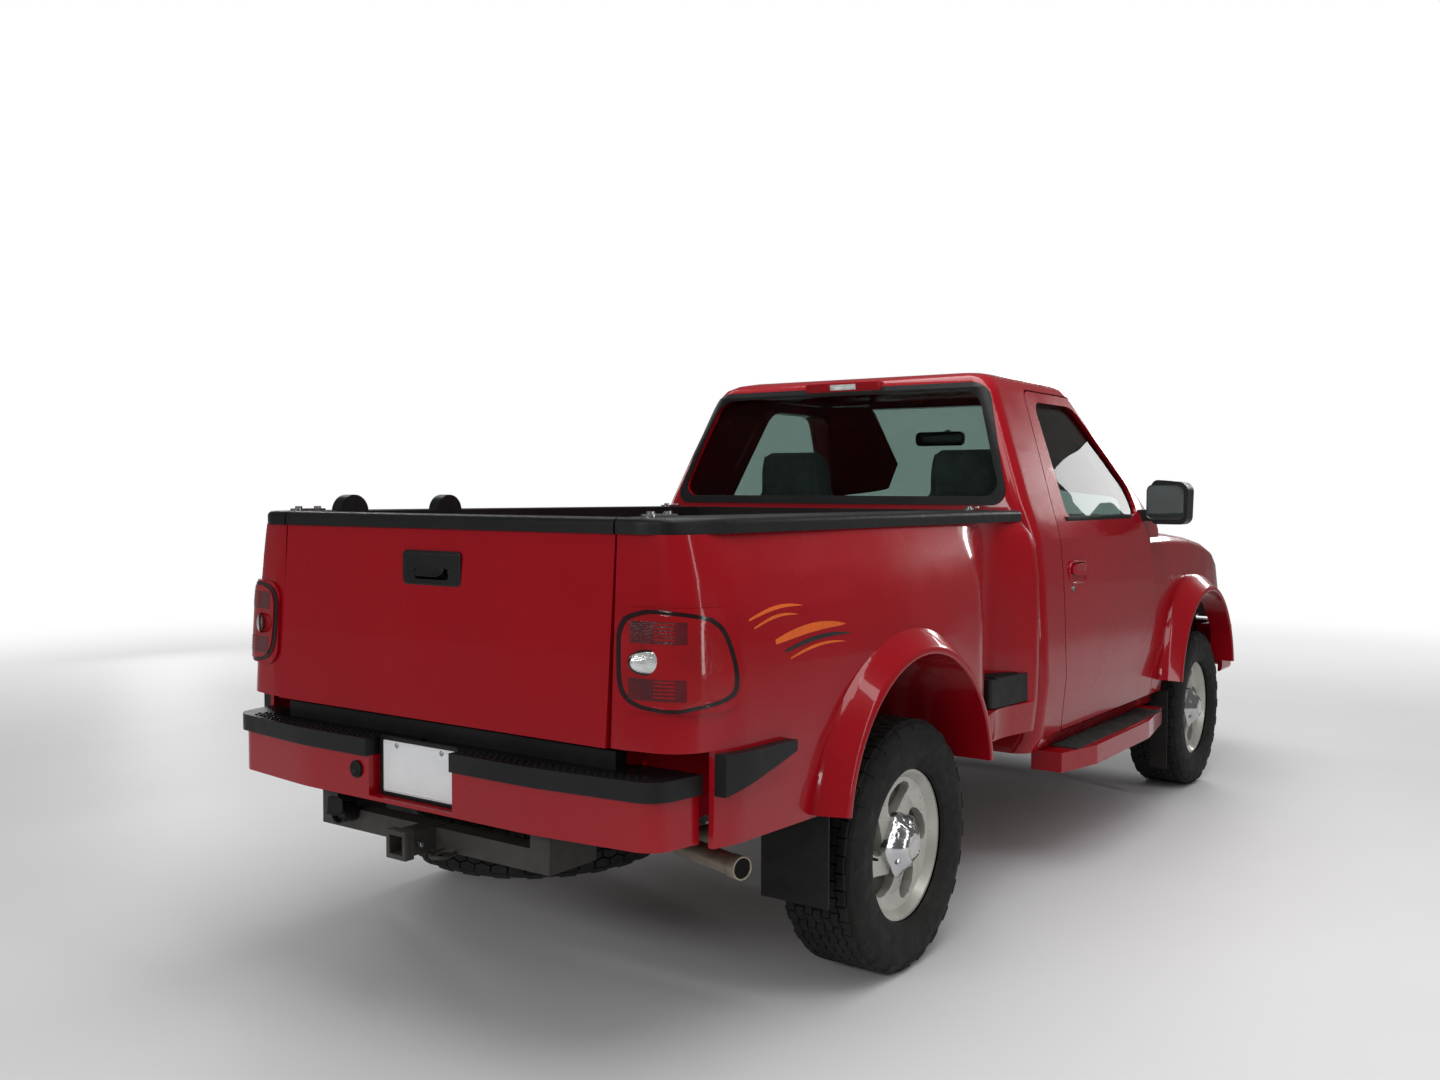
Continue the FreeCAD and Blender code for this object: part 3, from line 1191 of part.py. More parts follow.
# Step pads: black mouldings over the bumper and along the bed sides' lower edge
pads = rear_bumper_plan(d.panel_wall * 0.8, step_low + d.seat_gap, d.bumper_top_height)
pads = pads.cut(plate_room)
ball_relief = rod(vec(0, ball_y, step_low), vec(0, ball_y, d.bumper_top_height + d.overrun),
                  ball_hole_radius * 3.4)
pads = pads.cut(ball_relief)
pad_flange = block(-tailgate_half, tailgate_half, tailgate_inner_y + d.panel_wall,
                   d.bed_rear_y - d.tailgate_wall * 0.68,
                   d.bumper_top_height - d.panel_wall, d.bed_floor_height - d.panel_wall)
pads = pads.fuse(pad_flange)
wedge_tip_y = bumper_end_y - d.bumper_half_width * 0.34
wedge = prism_x([(bumper_end_y - d.panel_gap, step_low),
                 (bumper_end_y - d.panel_gap, d.bed_floor_height - d.panel_gap),
                 (wedge_tip_y, d.bed_floor_height - d.panel_gap),
                 (wedge_tip_y, d.bed_floor_height - d.panel_wall * 2.5)],
                [0, 0, 0, 0], side_root, outer_x)
wedge = wedge.common(bed_side_form(d.panel_wall * 2.2)).cut(bed_side_form(d.seat_gap)).cut(rear_flare)
wedge = max(wedge.Solids, key=lambda solid: solid.Volume)
shaped(Part.makeCompound([pads, wedge, mirrored(wedge)]), "rear_bumper_pads")

# Corner lamps and the high stop lamp, which sits over the rear window
stop_low = mix(d.belt_height, d.roof_height, 0.89)
stop_high = mix(d.belt_height, d.roof_height, 0.95)
stop_half = d.cab_wall * 3.9
stop_rear_y = d.cab_rear_y - rear_run * 0.92
stop_lamp = prism_y([(-stop_half, stop_low), (stop_half, stop_low), (stop_half, stop_high),
                     (-stop_half, stop_high)],
                    [d.panel_wall * 0.8] * 4, stop_rear_y - d.cab_wall, stop_rear_y)
stop_lamp = stop_lamp.cut(upper_cab(-d.seat_gap, -d.seat_gap, -d.seat_gap))
stop_lamp = max(stop_lamp.Solids, key=lambda solid: solid.Volume)
tail_lamp = max(tail_lamp.Solids, key=lambda solid: solid.Volume)
shaped(Part.makeCompound([tail_lamp, mirrored(tail_lamp), stop_lamp]), "tail_lamps")

# Rear window frame: a raised moulding round the rear glass
window_frame = upper_cab(0, -d.glass_wall).cut(upper_cab(-d.glass_wall, -d.seat_gap))
window_frame = window_frame.common(rear_prism(-d.cab_wall * 0.7)).cut(rear_prism(0))
stop_room = block(-stop_half - d.seat_gap, stop_half + d.seat_gap, mid_cab_y, d.cab_rear_y,
                  stop_low - d.seat_gap, d.roof_height)
window_frame = window_frame.cut(stop_room)
window_frame = max(window_frame.Solids, key=lambda solid: solid.Volume)
shaped(window_frame, "rear_window_frame")

# Door mirrors: a rounded shell on an arm from the door's front corner
mirror_y = d.door_front_y + d.panel_wall
mirror_low = d.belt_height * 0.98
mirror_high = mix(d.belt_height, d.roof_height, 0.295)
mirror_outer_x = d.arch_half_width + d.cab_wall * 1.5
mirror_inner_x = d.body_half_width * 0.985
mirror_shell = prism_y([(mirror_inner_x, mirror_low), (mirror_outer_x * 0.995, mirror_low),
                        (mirror_outer_x, mirror_high * 0.99), (mirror_inner_x, mirror_high)],
                       [d.panel_wall * 2, d.panel_wall * 2.4, d.panel_wall * 3, d.panel_wall * 2.4],
                       mirror_y - d.cab_wall, mirror_y + d.cab_wall)
mirror_arm = block(belt_half_width * 0.97, mirror_inner_x + d.panel_wall,
                   mirror_y - d.panel_wall * 0.4, mirror_y + d.cab_wall, mirror_low + d.panel_wall,
                   mirror_low + d.cab_wall * 1.4)
mirror = mirror_shell.fuse(mirror_arm)
mirror = mirror.cut([lower_cab(-d.seat_gap, 0), upper_cab(-d.seat_gap, -d.seat_gap, -d.seat_gap)])
mirror = max(mirror.Solids, key=lambda solid: solid.Volume)
shaped(mirror, "left_mirror")
shaped(mirrored(mirror), "right_mirror")

# Dashboard fills the front of the cab under the windscreen
dash_outline = [(d.cowl_y - d.overrun, d.belt_height * 0.72),
                (d.cowl_y + d.cab_back_length * 1.2, d.belt_height * 0.74),
                (d.cowl_y + d.cab_back_length * 1.45, d.belt_height * 0.82),
                (d.cowl_y + d.cab_back_length * 1.3, d.belt_height * 0.955),
                (d.cowl_y + d.cab_back_length * 0.9, cowl_low - d.panel_gap),
                (d.cowl_y - d.overrun, cowl_low - d.panel_gap)]
dash_trims = [0, d.panel_wall, d.cab_wall * 0.8, d.cab_wall * 0.8, d.cab_wall * 0.5, 0]
dash_half = belt_half_width - d.door_wall * 1.4
dashboard = prism_x(dash_outline, dash_trims, -dash_half, dash_half)
dashboard = dashboard.common(lower_cab(d.door_wall, d.cab_wall + d.seat_gap)).cut([
    prism_x([(cowl_front_y - d.overrun * 2, bulkhead_top - d.cab_wall),
             (cowl_front_y + d.cab_wall, bulkhead_top - d.cab_wall),
             (cowl_front_y + d.cab_wall * 2, cowl_low - d.panel_gap),
             (cowl_front_y - d.overrun * 2, cowl_low)],
            [0] * 4, -outer_x, outer_x), wheel_house(d.cab_wall)])
dashboard = max(dashboard.Solids, key=lambda solid: solid.Volume)
shaped(dashboard, "dashboard")

# Steering wheel: rim, hub, spokes and a column that ends at the dashboard
wheel_tilt = math.radians(28)
wheel_axis = vec(0, math.cos(wheel_tilt), math.sin(wheel_tilt))
wheel_centre = vec(d.seat_inner_x + d.seat_width * 0.36, d.cowl_y + d.cab_back_length * 2.2,
                   d.belt_height * 0.83)
wheel_tube = d.panel_wall
hand_rim = Part.makeTorus(d.steering_wheel_radius, wheel_tube, wheel_centre, wheel_axis)
column = rod(wheel_centre - wheel_axis * d.cab_back_length * 1.1, wheel_centre + wheel_axis * wheel_tube,
             d.steering_wheel_radius * 0.28)
spokes = [rod(wheel_centre + vec(-d.steering_wheel_radius, 0, 0),
              wheel_centre + vec(d.steering_wheel_radius, 0, 0),
              wheel_tube * 0.8)]
low_spoke = vec(0, math.sin(wheel_tilt), -math.cos(wheel_tilt)) * d.steering_wheel_radius
spokes.append(rod(wheel_centre, wheel_centre + low_spoke, wheel_tube * 0.8))
steering_wheel = hand_rim.multiFuse([column] + spokes).cut(dashboard)
steering_wheel = max(steering_wheel.Solids, key=lambda solid: solid.Volume)
shaped(steering_wheel, "steering_wheel")


def bound_box(name, low, high):
    """Block between two corners, bound to the sheet."""
    box = doc.addObject("Part::Box", name)
    for side, start, end in zip(("Length", "Width", "Height"), low, high):
        box.setExpression(side, sized(f"({end}) - ({start})"))
    return place(box, *low)


def bound_bar(name, start, axis, length, radius):
    """Round bar from a point along an axis, bound to the sheet."""
    bar = doc.addObject("Part::Cylinder", name)
    bind(bar, Radius=radius, Height=length)
    bar.Placement.Rotation = FreeCAD.Rotation(vec(0, 0, 1), axis)
    return place(bar, *start)


def fused(name, pieces):
    """Pieces joined to one solid."""
    joined = doc.addObject("Part::MultiFuse", name)
    joined.Shapes = pieces
    return joined


def less(name, base, tool):
    """Base with the tool cut out."""
    rest = doc.addObject("Part::Cut", name)
    rest.Base = base
    rest.Tool = tool
    return rest


def reflected(name, piece):
    """Mirror image on the other side of the truck."""
    image = doc.addObject("Part::Mirroring", name)
    image.Source = piece
    image.Normal = vec(1, 0, 0)
    return image


def grouped(name, pieces):
    """Pieces kept as separate solids of one node."""
    group = doc.addObject("Part::Compound", name)
    group.Links = pieces
    return group


def padded_body(name, role, outline, start, length):
    """Bound outline on one of the origin planes, padded from a place along its normal."""
    body = doc.addObject("PartDesign::Body", name)
    sketch = sketch_on(body, role, name + "_outline")
    draw_outline(sketch, outline)
    sketch.setExpression("AttachmentOffset.Base.z", sized(start))
    pad = body.newObject("PartDesign::Pad", name + "_pad")
    pad.Profile = sketch
    bind(pad, Length=length)
    body.Tip = pad
    return body


X_AXIS = vec(1, 0, 0)
Y_AXIS = vec(0, 1, 0)
Z_AXIS = vec(0, 0, 1)

# Seats: one on each side, cut from a side outline of base, cushion and high back
CAB_FLOOR = "cab_floor_height + roof_wall + seat_gap"
SEAT_SHARES = (
    # share of the door's length forward of its rear edge, height
    (0.60, CAB_FLOOR),
    (0.63, "belt_height * 0.66"),
    (0.61, "belt_height * 0.73"),
    (0.29, "belt_height * 0.70"),
    (0.22, "roof_height * 0.845"),
    (0.175, "roof_height * 0.86"),
    (0.125, "roof_height * 0.85"),
    (0.165, "belt_height * 0.75"),
    (0.20, CAB_FLOOR),
)
seat_outline = [(f"door_rear_y - door_length * {share}", height) for share, height in SEAT_SHARES]
left_seat = padded_body("left_seat", "YZ_Plane", seat_outline, "seat_inner_x", "seat_width")
node(grouped("seat_pair", [left_seat, reflected("right_seat", left_seat)]), "seats")

# Engine as one plain block with its mounts out to the rails
RAIL_SIDE = "(rail_inner_x - seat_gap)"
ENGINE_MIDDLE = "(engine_rear_y - engine_length / 2)"
engine_low = bound_box("engine_low", ("-engine_half_width", "engine_front_y", "engine_low_height"),
                       ("engine_half_width", "engine_rear_y",
                        "engine_low_height + (engine_top_height - engine_low_height) * 0.6"))
engine_high = bound_box("engine_high", ("-engine_half_width * 0.6", "engine_front_y + cab_wall",
                                        "engine_low_height"),
                        ("engine_half_width * 0.6", "engine_rear_y - cab_wall", "engine_top_height"))
engine_mounts = bound_box("engine_mounts",
                          ("-" + RAIL_SIDE, ENGINE_MIDDLE + " - cab_wall",
                           "engine_low_height + panel_wall"),
                          (RAIL_SIDE, ENGINE_MIDDLE + " + cab_wall",
                           "engine_low_height + panel_wall * 4"))
node(fused("engine_pieces", [engine_low, engine_high, engine_mounts]), "engine_block")

# Radiator behind its support panel
RADIATOR_FRONT = "(nose_y + nose_setback * 1.9 + cab_wall + seat_gap * 3)"
node(bound_box("radiator_box", ("-engine_half_width * 1.25", RADIATOR_FRONT,
                                "frame_top_height + mount_height"),
               ("engine_half_width * 1.25", RADIATOR_FRONT + " + cab_wall * 1.3",
                "hood_front_height * 0.93")), "radiator")

# Driveline: gearbox and transfer case on a bar between the rails, with both shafts
gearbox = bound_box("gearbox", ("-gearbox_half_width", "engine_rear_y + seat_gap", "gearbox_low_height"),
                    ("gearbox_half_width", "gearbox_rear_y", "cab_floor_height - panel_wall * 1.5"))
transfer = bound_box("transfer_case", ("-gearbox_half_width", "gearbox_rear_y - panel_wall",
                                       "gearbox_low_height * 0.94"),
                     ("gearbox_half_width * 1.8", "transfer_rear_y", "frame_top_height - panel_wall * 2"))
gearbox_bar = bound_box("gearbox_bar", ("-" + RAIL_SIDE, "gearbox_rear_y - cab_wall",
                                        "frame_top_height - frame_rail_depth * 0.75"),
                        (RAIL_SIDE, "gearbox_rear_y + cab_wall",
                         "frame_top_height - frame_rail_depth * 0.2"))
rear_shaft = bound_bar("rear_shaft", ("0", "transfer_rear_y - panel_wall", "tyre_radius"), Y_AXIS,
                       "pinion_y - transfer_rear_y + panel_wall - seat_gap", "shaft_radius")
front_shaft = bound_bar("front_shaft", ("gearbox_half_width * 1.4",
                                        "front_axle_y + cab_wall * 2.2 + seat_gap", "tyre_radius"),
                        Y_AXIS,
                        "gearbox_rear_y - front_axle_y - cab_wall * 2.2", "shaft_radius * 0.7")
node(fused("driveline_pieces", [gearbox, transfer, gearbox_bar, rear_shaft, front_shaft]), "driveline")

# Fuel tank inside the left rail
node(bound_box("tank_box", ("gearbox_half_width * 0.8", "cab_wall * 0.7", "gearbox_low_height"),
               (RAIL_SIDE, "cab_wall * 0.7 + tank_length", "frame_top_height - panel_wall * 1.5")),
     "fuel_tank")

# Rear axle: tube, case, drums and a pair of leaf springs with their hangers
REAR_CENTRE = ("rear_axle_y", "tyre_radius")
axle_tube = bound_bar("axle_tube", ("-hub_face_x",) + REAR_CENTRE, X_AXIS, "hub_face_x * 2",
                      "axle_tube_radius")
axle_case = bound_bar("axle_case", ("-axle_case_radius * 0.75",) + REAR_CENTRE, X_AXIS,
                      "axle_case_radius * 1.5", "axle_case_radius")
pinion = bound_bar("pinion_nose", ("0", "pinion_y", "tyre_radius"), Y_AXIS, "axle_case_radius * 1.3",
                   "axle_case_radius * 0.5")
left_drum = bound_bar("left_drum", ("hub_face_x - drum_width",) + REAR_CENTRE, X_AXIS, "drum_width",
                      "drum_radius")
right_drum = bound_bar("right_drum", ("-hub_face_x",) + REAR_CENTRE, X_AXIS, "drum_width", "drum_radius")
SPRING_SEAT = "tyre_radius + axle_tube_radius"
SPRING_SHARES = (
    # share of the half length, height above the axle tube's top in rail depths
    (-1.0, 1.10),
    (-0.56, 0.34),
    (-0.12, -0.08),
    (0.12, -0.08),
    (0.56, 0.34),
    (1.0, 1.10),
    (1.0, 1.28),
    (0.56, 0.54),
    (0.12, 0.30),
    (-0.12, 0.30),
    (-0.56, 0.54),
    (-1.0, 1.28),
)
spring_outline = [(f"rear_axle_y + spring_length / 2 * ({along})",
                   f"{SPRING_SEAT} + frame_rail_depth * ({up})")
                  for along, up in SPRING_SHARES]
SPRING_X = "frame_half_width + panel_wall"
left_spring = padded_body("left_spring", "YZ_Plane", spring_outline, SPRING_X, "spring_width")
hangers = []
for number, end in enumerate(("-", "+")):
    middle = f"rear_axle_y {end} spring_length / 2"
    hangers.append(bound_box(f"spring_hanger_{number}",
                             ("frame_half_width + seat_gap", middle + " - cab_wall / 2",
                                                         SPRING_SEAT + " + frame_rail_depth"),
                             (SPRING_X + " + spring_width", middle + " + cab_wall / 2",
                              SPRING_SEAT + " + frame_rail_depth * 1.45")))
spring_set = fused("left_spring_set", [left_spring] + hangers)
node(fused("rear_axle_pieces", [axle_tube, axle_case, pinion, left_drum, right_drum, spring_set,
                                reflected("right_spring_set", spring_set)]), "rear_axle")

# Front suspension: a subframe under the rails, arms to the ball joints, case and half shafts
FRONT_RAIL = "front_rail_low - seat_gap"
ARM_LOW = "tyre_radius - knuckle_height / 2 - seat_gap"
ARM_HIGH = "tyre_radius + knuckle_height / 2 + seat_gap"
ARM_WALL = "mount_height"
subframe = bound_box("subframe", ("-frame_half_width", "front_axle_y - cab_wall * 1.5",
                                  ARM_LOW + " - " + ARM_WALL),
                     ("frame_half_width", "front_axle_y + cab_wall * 1.5", ARM_LOW))
suspension = [subframe]
ARM_OUTLINE = (
    ("frame_half_width + seat_gap", "front_axle_y - cab_wall * 1.5"),
    ("kingpin_x - knuckle_width", "front_axle_y - cab_wall"),
    ("kingpin_x + panel_wall * 2", "front_axle_y - panel_wall * 2"),
    ("kingpin_x + panel_wall * 2", "front_axle_y + panel_wall * 2"),
    ("kingpin_x - knuckle_width", "front_axle_y + cab_wall"),
    ("frame_half_width + seat_gap", "front_axle_y + cab_wall * 1.5"),
)
low_outline = [("frame_half_width - panel_wall", y) if "seat_gap" in x else (x, y) for x,
               y in ARM_OUTLINE]
low_arm = padded_body("left_low_arm", "XY_Plane", low_outline, ARM_LOW + " - " + ARM_WALL, ARM_WALL)
high_arm = padded_body("left_high_arm", "XY_Plane", ARM_OUTLINE, ARM_HIGH, ARM_WALL)
post = bound_box("left_post", ("rail_inner_x", "front_axle_y - cab_wall", ARM_LOW + " - panel_wall"),
                 ("frame_half_width", "front_axle_y + cab_wall", FRONT_RAIL))
damper = bound_bar("left_damper", ("kingpin_x - knuckle_width * 2", "front_axle_y",
                                   ARM_LOW + " - panel_wall"), Z_AXIS,
                   "knuckle_height + panel_wall * 2", "axle_tube_radius * 0.7")
arm_set = fused("left_arms", [low_arm, high_arm, post, damper])
front_case = bound_bar("front_case", ("gearbox_half_width * 0.7", "front_axle_y", "tyre_radius"), X_AXIS,
                       "gearbox_half_width * 1.4", "cab_wall * 2.2")
half_shafts = bound_bar("half_shafts", ("-kingpin_x + knuckle_width", "front_axle_y", "tyre_radius"),
                        X_AXIS,
                        "(kingpin_x - knuckle_width) * 2", "spindle_radius * 0.7")
case_foot = bound_box("case_foot", ("gearbox_half_width * 0.9", "front_axle_y - cab_wall",
                                    ARM_LOW + " - panel_wall"),
                      ("gearbox_half_width * 1.9", "front_axle_y + cab_wall", "tyre_radius"))
suspension += [arm_set, reflected("right_arms", arm_set), front_case, half_shafts, case_foot]
node(fused("suspension_pieces", suspension), "front_suspension")

# Knuckles: an upright on the kingpin with the spindle, drum and steering arm
upright = bound_box("left_upright", ("kingpin_x - knuckle_width / 2", "front_axle_y - cab_wall",
                                     "tyre_radius - knuckle_height / 2"),
                    ("kingpin_x + knuckle_width / 2", "front_axle_y + cab_wall",
                     "tyre_radius + knuckle_height / 2"))
spindle = bound_bar("left_spindle", ("kingpin_x", "front_axle_y", "tyre_radius"), X_AXIS,
                    "hub_face_x - kingpin_x", "spindle_radius")
brake = bound_bar("left_brake", ("hub_face_x - drum_width", "front_axle_y", "tyre_radius"), X_AXIS,
                  "drum_width", "drum_radius")
steer_arm = bound_box("left_steer_arm", ("kingpin_x - knuckle_width / 2", "front_axle_y",
                                         "tyre_radius - panel_wall"),
                      ("kingpin_x - panel_wall", "front_axle_y + cab_wall * 2.8",
                       "tyre_radius + panel_wall"))
left_knuckle = fused("left_knuckle_pieces", [upright, spindle, brake, steer_arm])
node(left_knuckle, "left_knuckle")
node(reflected("right_knuckle_pieces", left_knuckle), "right_knuckle")

# Spare wheel, slung flat on a crossmember
SPARE_TOP = "spare_bar_low - mount_height"
spare_disc = bound_bar("spare_disc", ("0", "spare_y", SPARE_TOP + " - spare_width"), Z_AXIS,
                       "spare_width", "tyre_radius")
spare_bowl = bound_bar("spare_bowl", ("0", "spare_y", SPARE_TOP + " - spare_width"), Z_AXIS,
                       "spare_width / 2", "bead_radius")
spare_hub = bound_bar("spare_hub", ("0", "spare_y", SPARE_TOP + " - panel_wall"), Z_AXIS,
                      "mount_height + panel_wall - seat_gap", "cab_wall")
node(fused("spare_pieces", [less("spare_hollow", spare_disc, spare_bowl), spare_hub]), "spare_wheel")

# Tow hitch: a bar on brackets under the rails with a square receiver and its collar
HITCH_FRONT = "frame_rear_y + cab_wall"
HITCH_LOW = "receiver_height - spindle_radius"
hitch_bar = bound_box("hitch_bar", ("-frame_half_width", HITCH_FRONT, HITCH_LOW),
                      ("frame_half_width", HITCH_FRONT + " + spindle_radius * 2",
                       "receiver_height + spindle_radius"))
hitch_sides = [bound_box(f"hitch_bracket_{number}", (low, "frame_rear_y - cab_wall * 1.6", HITCH_LOW),
                         (high, HITCH_FRONT + " + spindle_radius * 2", "rear_rail_low - seat_gap"))
               for number, (low, high) in enumerate((("rail_inner_x", "frame_half_width"),
                                                     ("-frame_half_width", "-rail_inner_x")))]
TUBE_HALF = "(receiver_bore / 2 + receiver_wall)"
COLLAR_HALF = "(receiver_bore / 2 + receiver_wall * 2)"
tube_box = bound_box("receiver_tube", ("-" + TUBE_HALF, HITCH_FRONT, "receiver_height - " + TUBE_HALF),
                     (TUBE_HALF, "receiver_mouth_y", "receiver_height + " + TUBE_HALF))
collar = bound_box("receiver_collar", ("-" + COLLAR_HALF, "receiver_mouth_y - spindle_radius",
                                       "receiver_height - " + COLLAR_HALF),
                   (COLLAR_HALF, "receiver_mouth_y", "receiver_height + " + COLLAR_HALF))
bore = bound_box("receiver_room", ("-receiver_bore / 2", HITCH_FRONT + " + receiver_wall",
                                   "receiver_height - receiver_bore / 2"),
                 ("receiver_bore / 2", "receiver_mouth_y + overrun",
                  "receiver_height + receiver_bore / 2"))
hitch_solid = fused("hitch_solid", [hitch_bar] + hitch_sides + [tube_box, collar])
node(less("hitch_pieces", hitch_solid, bore), "tow_hitch")

# Exhaust: from the engine along the right, round the axle and out behind the wheel
EXHAUST_POINTS = (
    # places as x, y, z
    (-d.engine_half_width * 0.76, d.engine_rear_y - d.pipe_radius * 2,
     d.engine_low_height + d.pipe_radius * 1.6),
    (-d.engine_half_width * 0.85, d.cowl_y, d.gearbox_low_height + d.overrun),
    (-d.engine_half_width * 0.85, mix(d.bed_front_y, d.rear_axle_y, 0.30),
     d.gearbox_low_height + d.overrun),
    (-d.bed_half_width * 0.93, mix(d.bed_front_y, d.rear_axle_y, 0.44), d.gearbox_low_height + d.overrun),
    (-d.bed_half_width * 0.93, mix(d.bed_front_y, d.rear_axle_y, 0.90), d.receiver_height),
    (-d.bed_half_width * 0.93, mix(d.rear_axle_y, d.bed_rear_y, 0.66), d.receiver_height),
    (-d.body_half_width * 0.94, mix(d.rear_axle_y, d.bed_rear_y, 0.74), d.receiver_height),
)
exhaust = rod(vec(*EXHAUST_POINTS[0]), vec(*EXHAUST_POINTS[1]), d.pipe_radius)
for start, end in zip(EXHAUST_POINTS[1:], EXHAUST_POINTS[2:]):
    exhaust = exhaust.fuse([rod(vec(*start), vec(*end), d.pipe_radius),
                            Part.makeSphere(d.pipe_radius, vec(*start))])
exhaust = exhaust.cut(block(-d.bed_half_width, 0, d.engine_front_y, d.engine_rear_y + d.seat_gap,
                            0, d.engine_top_height))
muffler_y = d.cab_wall * 1.5
exhaust = exhaust.fuse(rod(vec(EXHAUST_POINTS[2][0], muffler_y, EXHAUST_POINTS[2][2]),
                           vec(EXHAUST_POINTS[2][0], muffler_y + d.tank_length, EXHAUST_POINTS[2][2]),
                           d.muffler_radius))
shaped(exhaust, "exhaust")

# Running boards: a plate along each sill, carried by two arms from the rail
BOARD_OUTLINE = (
    ("body_half_width * 0.90", "door_front_y - cab_wall"),
    ("body_half_width * 1.02", "door_front_y - cab_wall"),
    ("arch_half_width", "door_front_y + door_length * 0.30"),
    ("arch_half_width", "door_rear_y - door_length * 0.13"),
    ("body_half_width * 1.03", "door_rear_y + cab_wall * 2"),
    ("body_half_width * 0.90", "door_rear_y + cab_wall * 2"),
)
board = padded_body("left_board", "XY_Plane", BOARD_OUTLINE, "board_low_height",
                    "sill_height - board_low_height - panel_gap / 2")
arms = [bound_box(f"board_arm_{number}", ("frame_half_width + seat_gap", f"{y} - panel_wall * 2",
                                          "frame_top_height - frame_rail_depth"),
                  ("body_half_width * 0.92", f"{y} + panel_wall * 2", "sill_height - panel_gap / 2"))
        for number, y in enumerate(("door_front_y + cab_back_length", "door_rear_y - cab_back_length"))]
board_set = fused("left_board_set", [board] + arms)
node(grouped("board_pair", [board_set, reflected("right_board_set", board_set)]), "running_boards")

# Bed steps fill the foot of the scoop ahead of each rear wheel
step_rear_y = waist_rear_y + d.panel_wall * 2
step_low_z = mix(d.bed_side_bottom_height, d.bed_rail_height, 0.150)
step_top_z = mix(d.bed_side_bottom_height, d.bed_rail_height, 0.285)
bed_step = block(side_root, outer_x, d.bed_front_y + d.panel_wall * 0.6, step_rear_y, step_low_z,
                 step_top_z)
step_plan = prism_z([(side_root, d.bed_front_y), (d.rail_half_width * 1.105, d.bed_front_y),
                     (d.rail_half_width * 1.075, waist_front_y), (d.rail_half_width * 1.06, step_rear_y),
                     (side_root, step_rear_y)], [0, d.panel_wall, d.cab_wall, d.panel_wall, 0],
                    step_low_z, step_top_z)
bed_step = bed_step.common(step_plan).cut(bed_side_form(d.seat_gap))
bed_step = max(bed_step.Solids, key=lambda solid: solid.Volume)
shaped(both_sides(bed_step), "bed_steps")

# Mud flaps hang behind the four wheels
rear_flap = bound_box("left_rear_flap", ("wheel_x - tyre_width * 0.44",
                                         "rear_axle_y + arch_radius + panel_gap",
                                         "board_low_height * 0.8"),
                      ("body_half_width + panel_wall",
                       "rear_axle_y + arch_radius + panel_gap + flap_wall",
                       "bed_side_bottom_height - seat_gap"))
front_flap = bound_box("left_front_flap",
                       ("body_half_width * 0.93", "front_axle_y + arch_radius + panel_gap",
                        "board_low_height * 0.4"),
                       ("body_half_width + panel_wall",
                        "front_axle_y + arch_radius + panel_gap + flap_wall",
                        "door_bottom_height - seat_gap"))
node(grouped("flap_set", [rear_flap, front_flap, reflected("right_rear_flap", rear_flap),
                          reflected("right_front_flap", front_flap)]), "mud_flaps")


# Checks and export of every sub-part
doc.recompute()
for item in doc.Objects:
    assert "Invalid" not in item.State and "Error" not in item.State, item.Name
for piece in nodes:
    shape = piece.Shape
    assert not shape.isNull() and shape.isValid() and shape.Solids, piece.Label
for piece in nodes:
    piece.Shape.exportStep(f"parts/{piece.Label}.step")
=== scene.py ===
import bpy
from math import atan2, cos, pi, radians, sin
from mathutils import Matrix, Vector
from mathutils.bvhtree import BVHTree


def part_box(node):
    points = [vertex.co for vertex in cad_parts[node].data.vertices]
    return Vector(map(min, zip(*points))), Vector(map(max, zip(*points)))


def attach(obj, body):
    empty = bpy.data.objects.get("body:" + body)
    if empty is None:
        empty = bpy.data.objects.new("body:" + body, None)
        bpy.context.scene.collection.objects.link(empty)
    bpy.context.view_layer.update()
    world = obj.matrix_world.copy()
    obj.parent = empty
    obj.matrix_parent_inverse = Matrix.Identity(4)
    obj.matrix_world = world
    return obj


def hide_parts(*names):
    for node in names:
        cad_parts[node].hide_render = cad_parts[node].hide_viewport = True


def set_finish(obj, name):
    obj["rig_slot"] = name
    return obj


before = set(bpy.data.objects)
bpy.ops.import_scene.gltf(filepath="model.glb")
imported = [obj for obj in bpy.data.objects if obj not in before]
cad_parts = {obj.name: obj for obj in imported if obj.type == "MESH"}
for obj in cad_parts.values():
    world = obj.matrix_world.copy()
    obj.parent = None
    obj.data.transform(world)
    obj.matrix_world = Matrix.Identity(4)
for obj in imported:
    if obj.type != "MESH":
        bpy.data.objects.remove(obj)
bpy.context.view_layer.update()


# Camera
# The photograph was taken from behind the right rear corner, a little above the bed rails,
# with a moderately wide lens held almost level.
camera_place = (-2.675, 4.830, 1.425)
camera_yaw = 0.6217
camera_pitch = -0.0374
camera_roll = 0.0036
camera_data = bpy.data.cameras.new("studio_camera")
camera_data.sensor_width = 36.0
camera_data.lens = 31.94
camera_data.clip_end = 200.0
camera = bpy.data.objects.new("studio_camera", camera_data)
bpy.context.scene.collection.objects.link(camera)
camera.matrix_world = (
    Matrix.Translation(camera_place)
    @ Matrix.Rotation(pi + camera_yaw, 4, "Z")
    @ Matrix.Rotation(pi / 2 + camera_pitch, 4, "X")
    @ Matrix.Rotation(camera_roll, 4, "Z")
)
bpy.context.scene.camera = camera
bpy.context.scene.view_settings.view_transform = "Standard"


# Studio floor
# A plain pale studio floor that runs out to white. It keeps the truck's shadow.
def wire(tree, kind, **values):
    """A node with its sockets set, by name with spaces for underscores."""
    node = tree.nodes.new("ShaderNode" + kind)
    for key, value in values.items():
        node.inputs[key.replace("_", " ")].default_value = value
    return node


def join(tree, *links):
    """Links sockets: each link is a node, its output's name, a node, and its input's."""
    for giver, output, taker, entry in links:
        tree.links.new(giver.outputs[output], taker.inputs[entry])


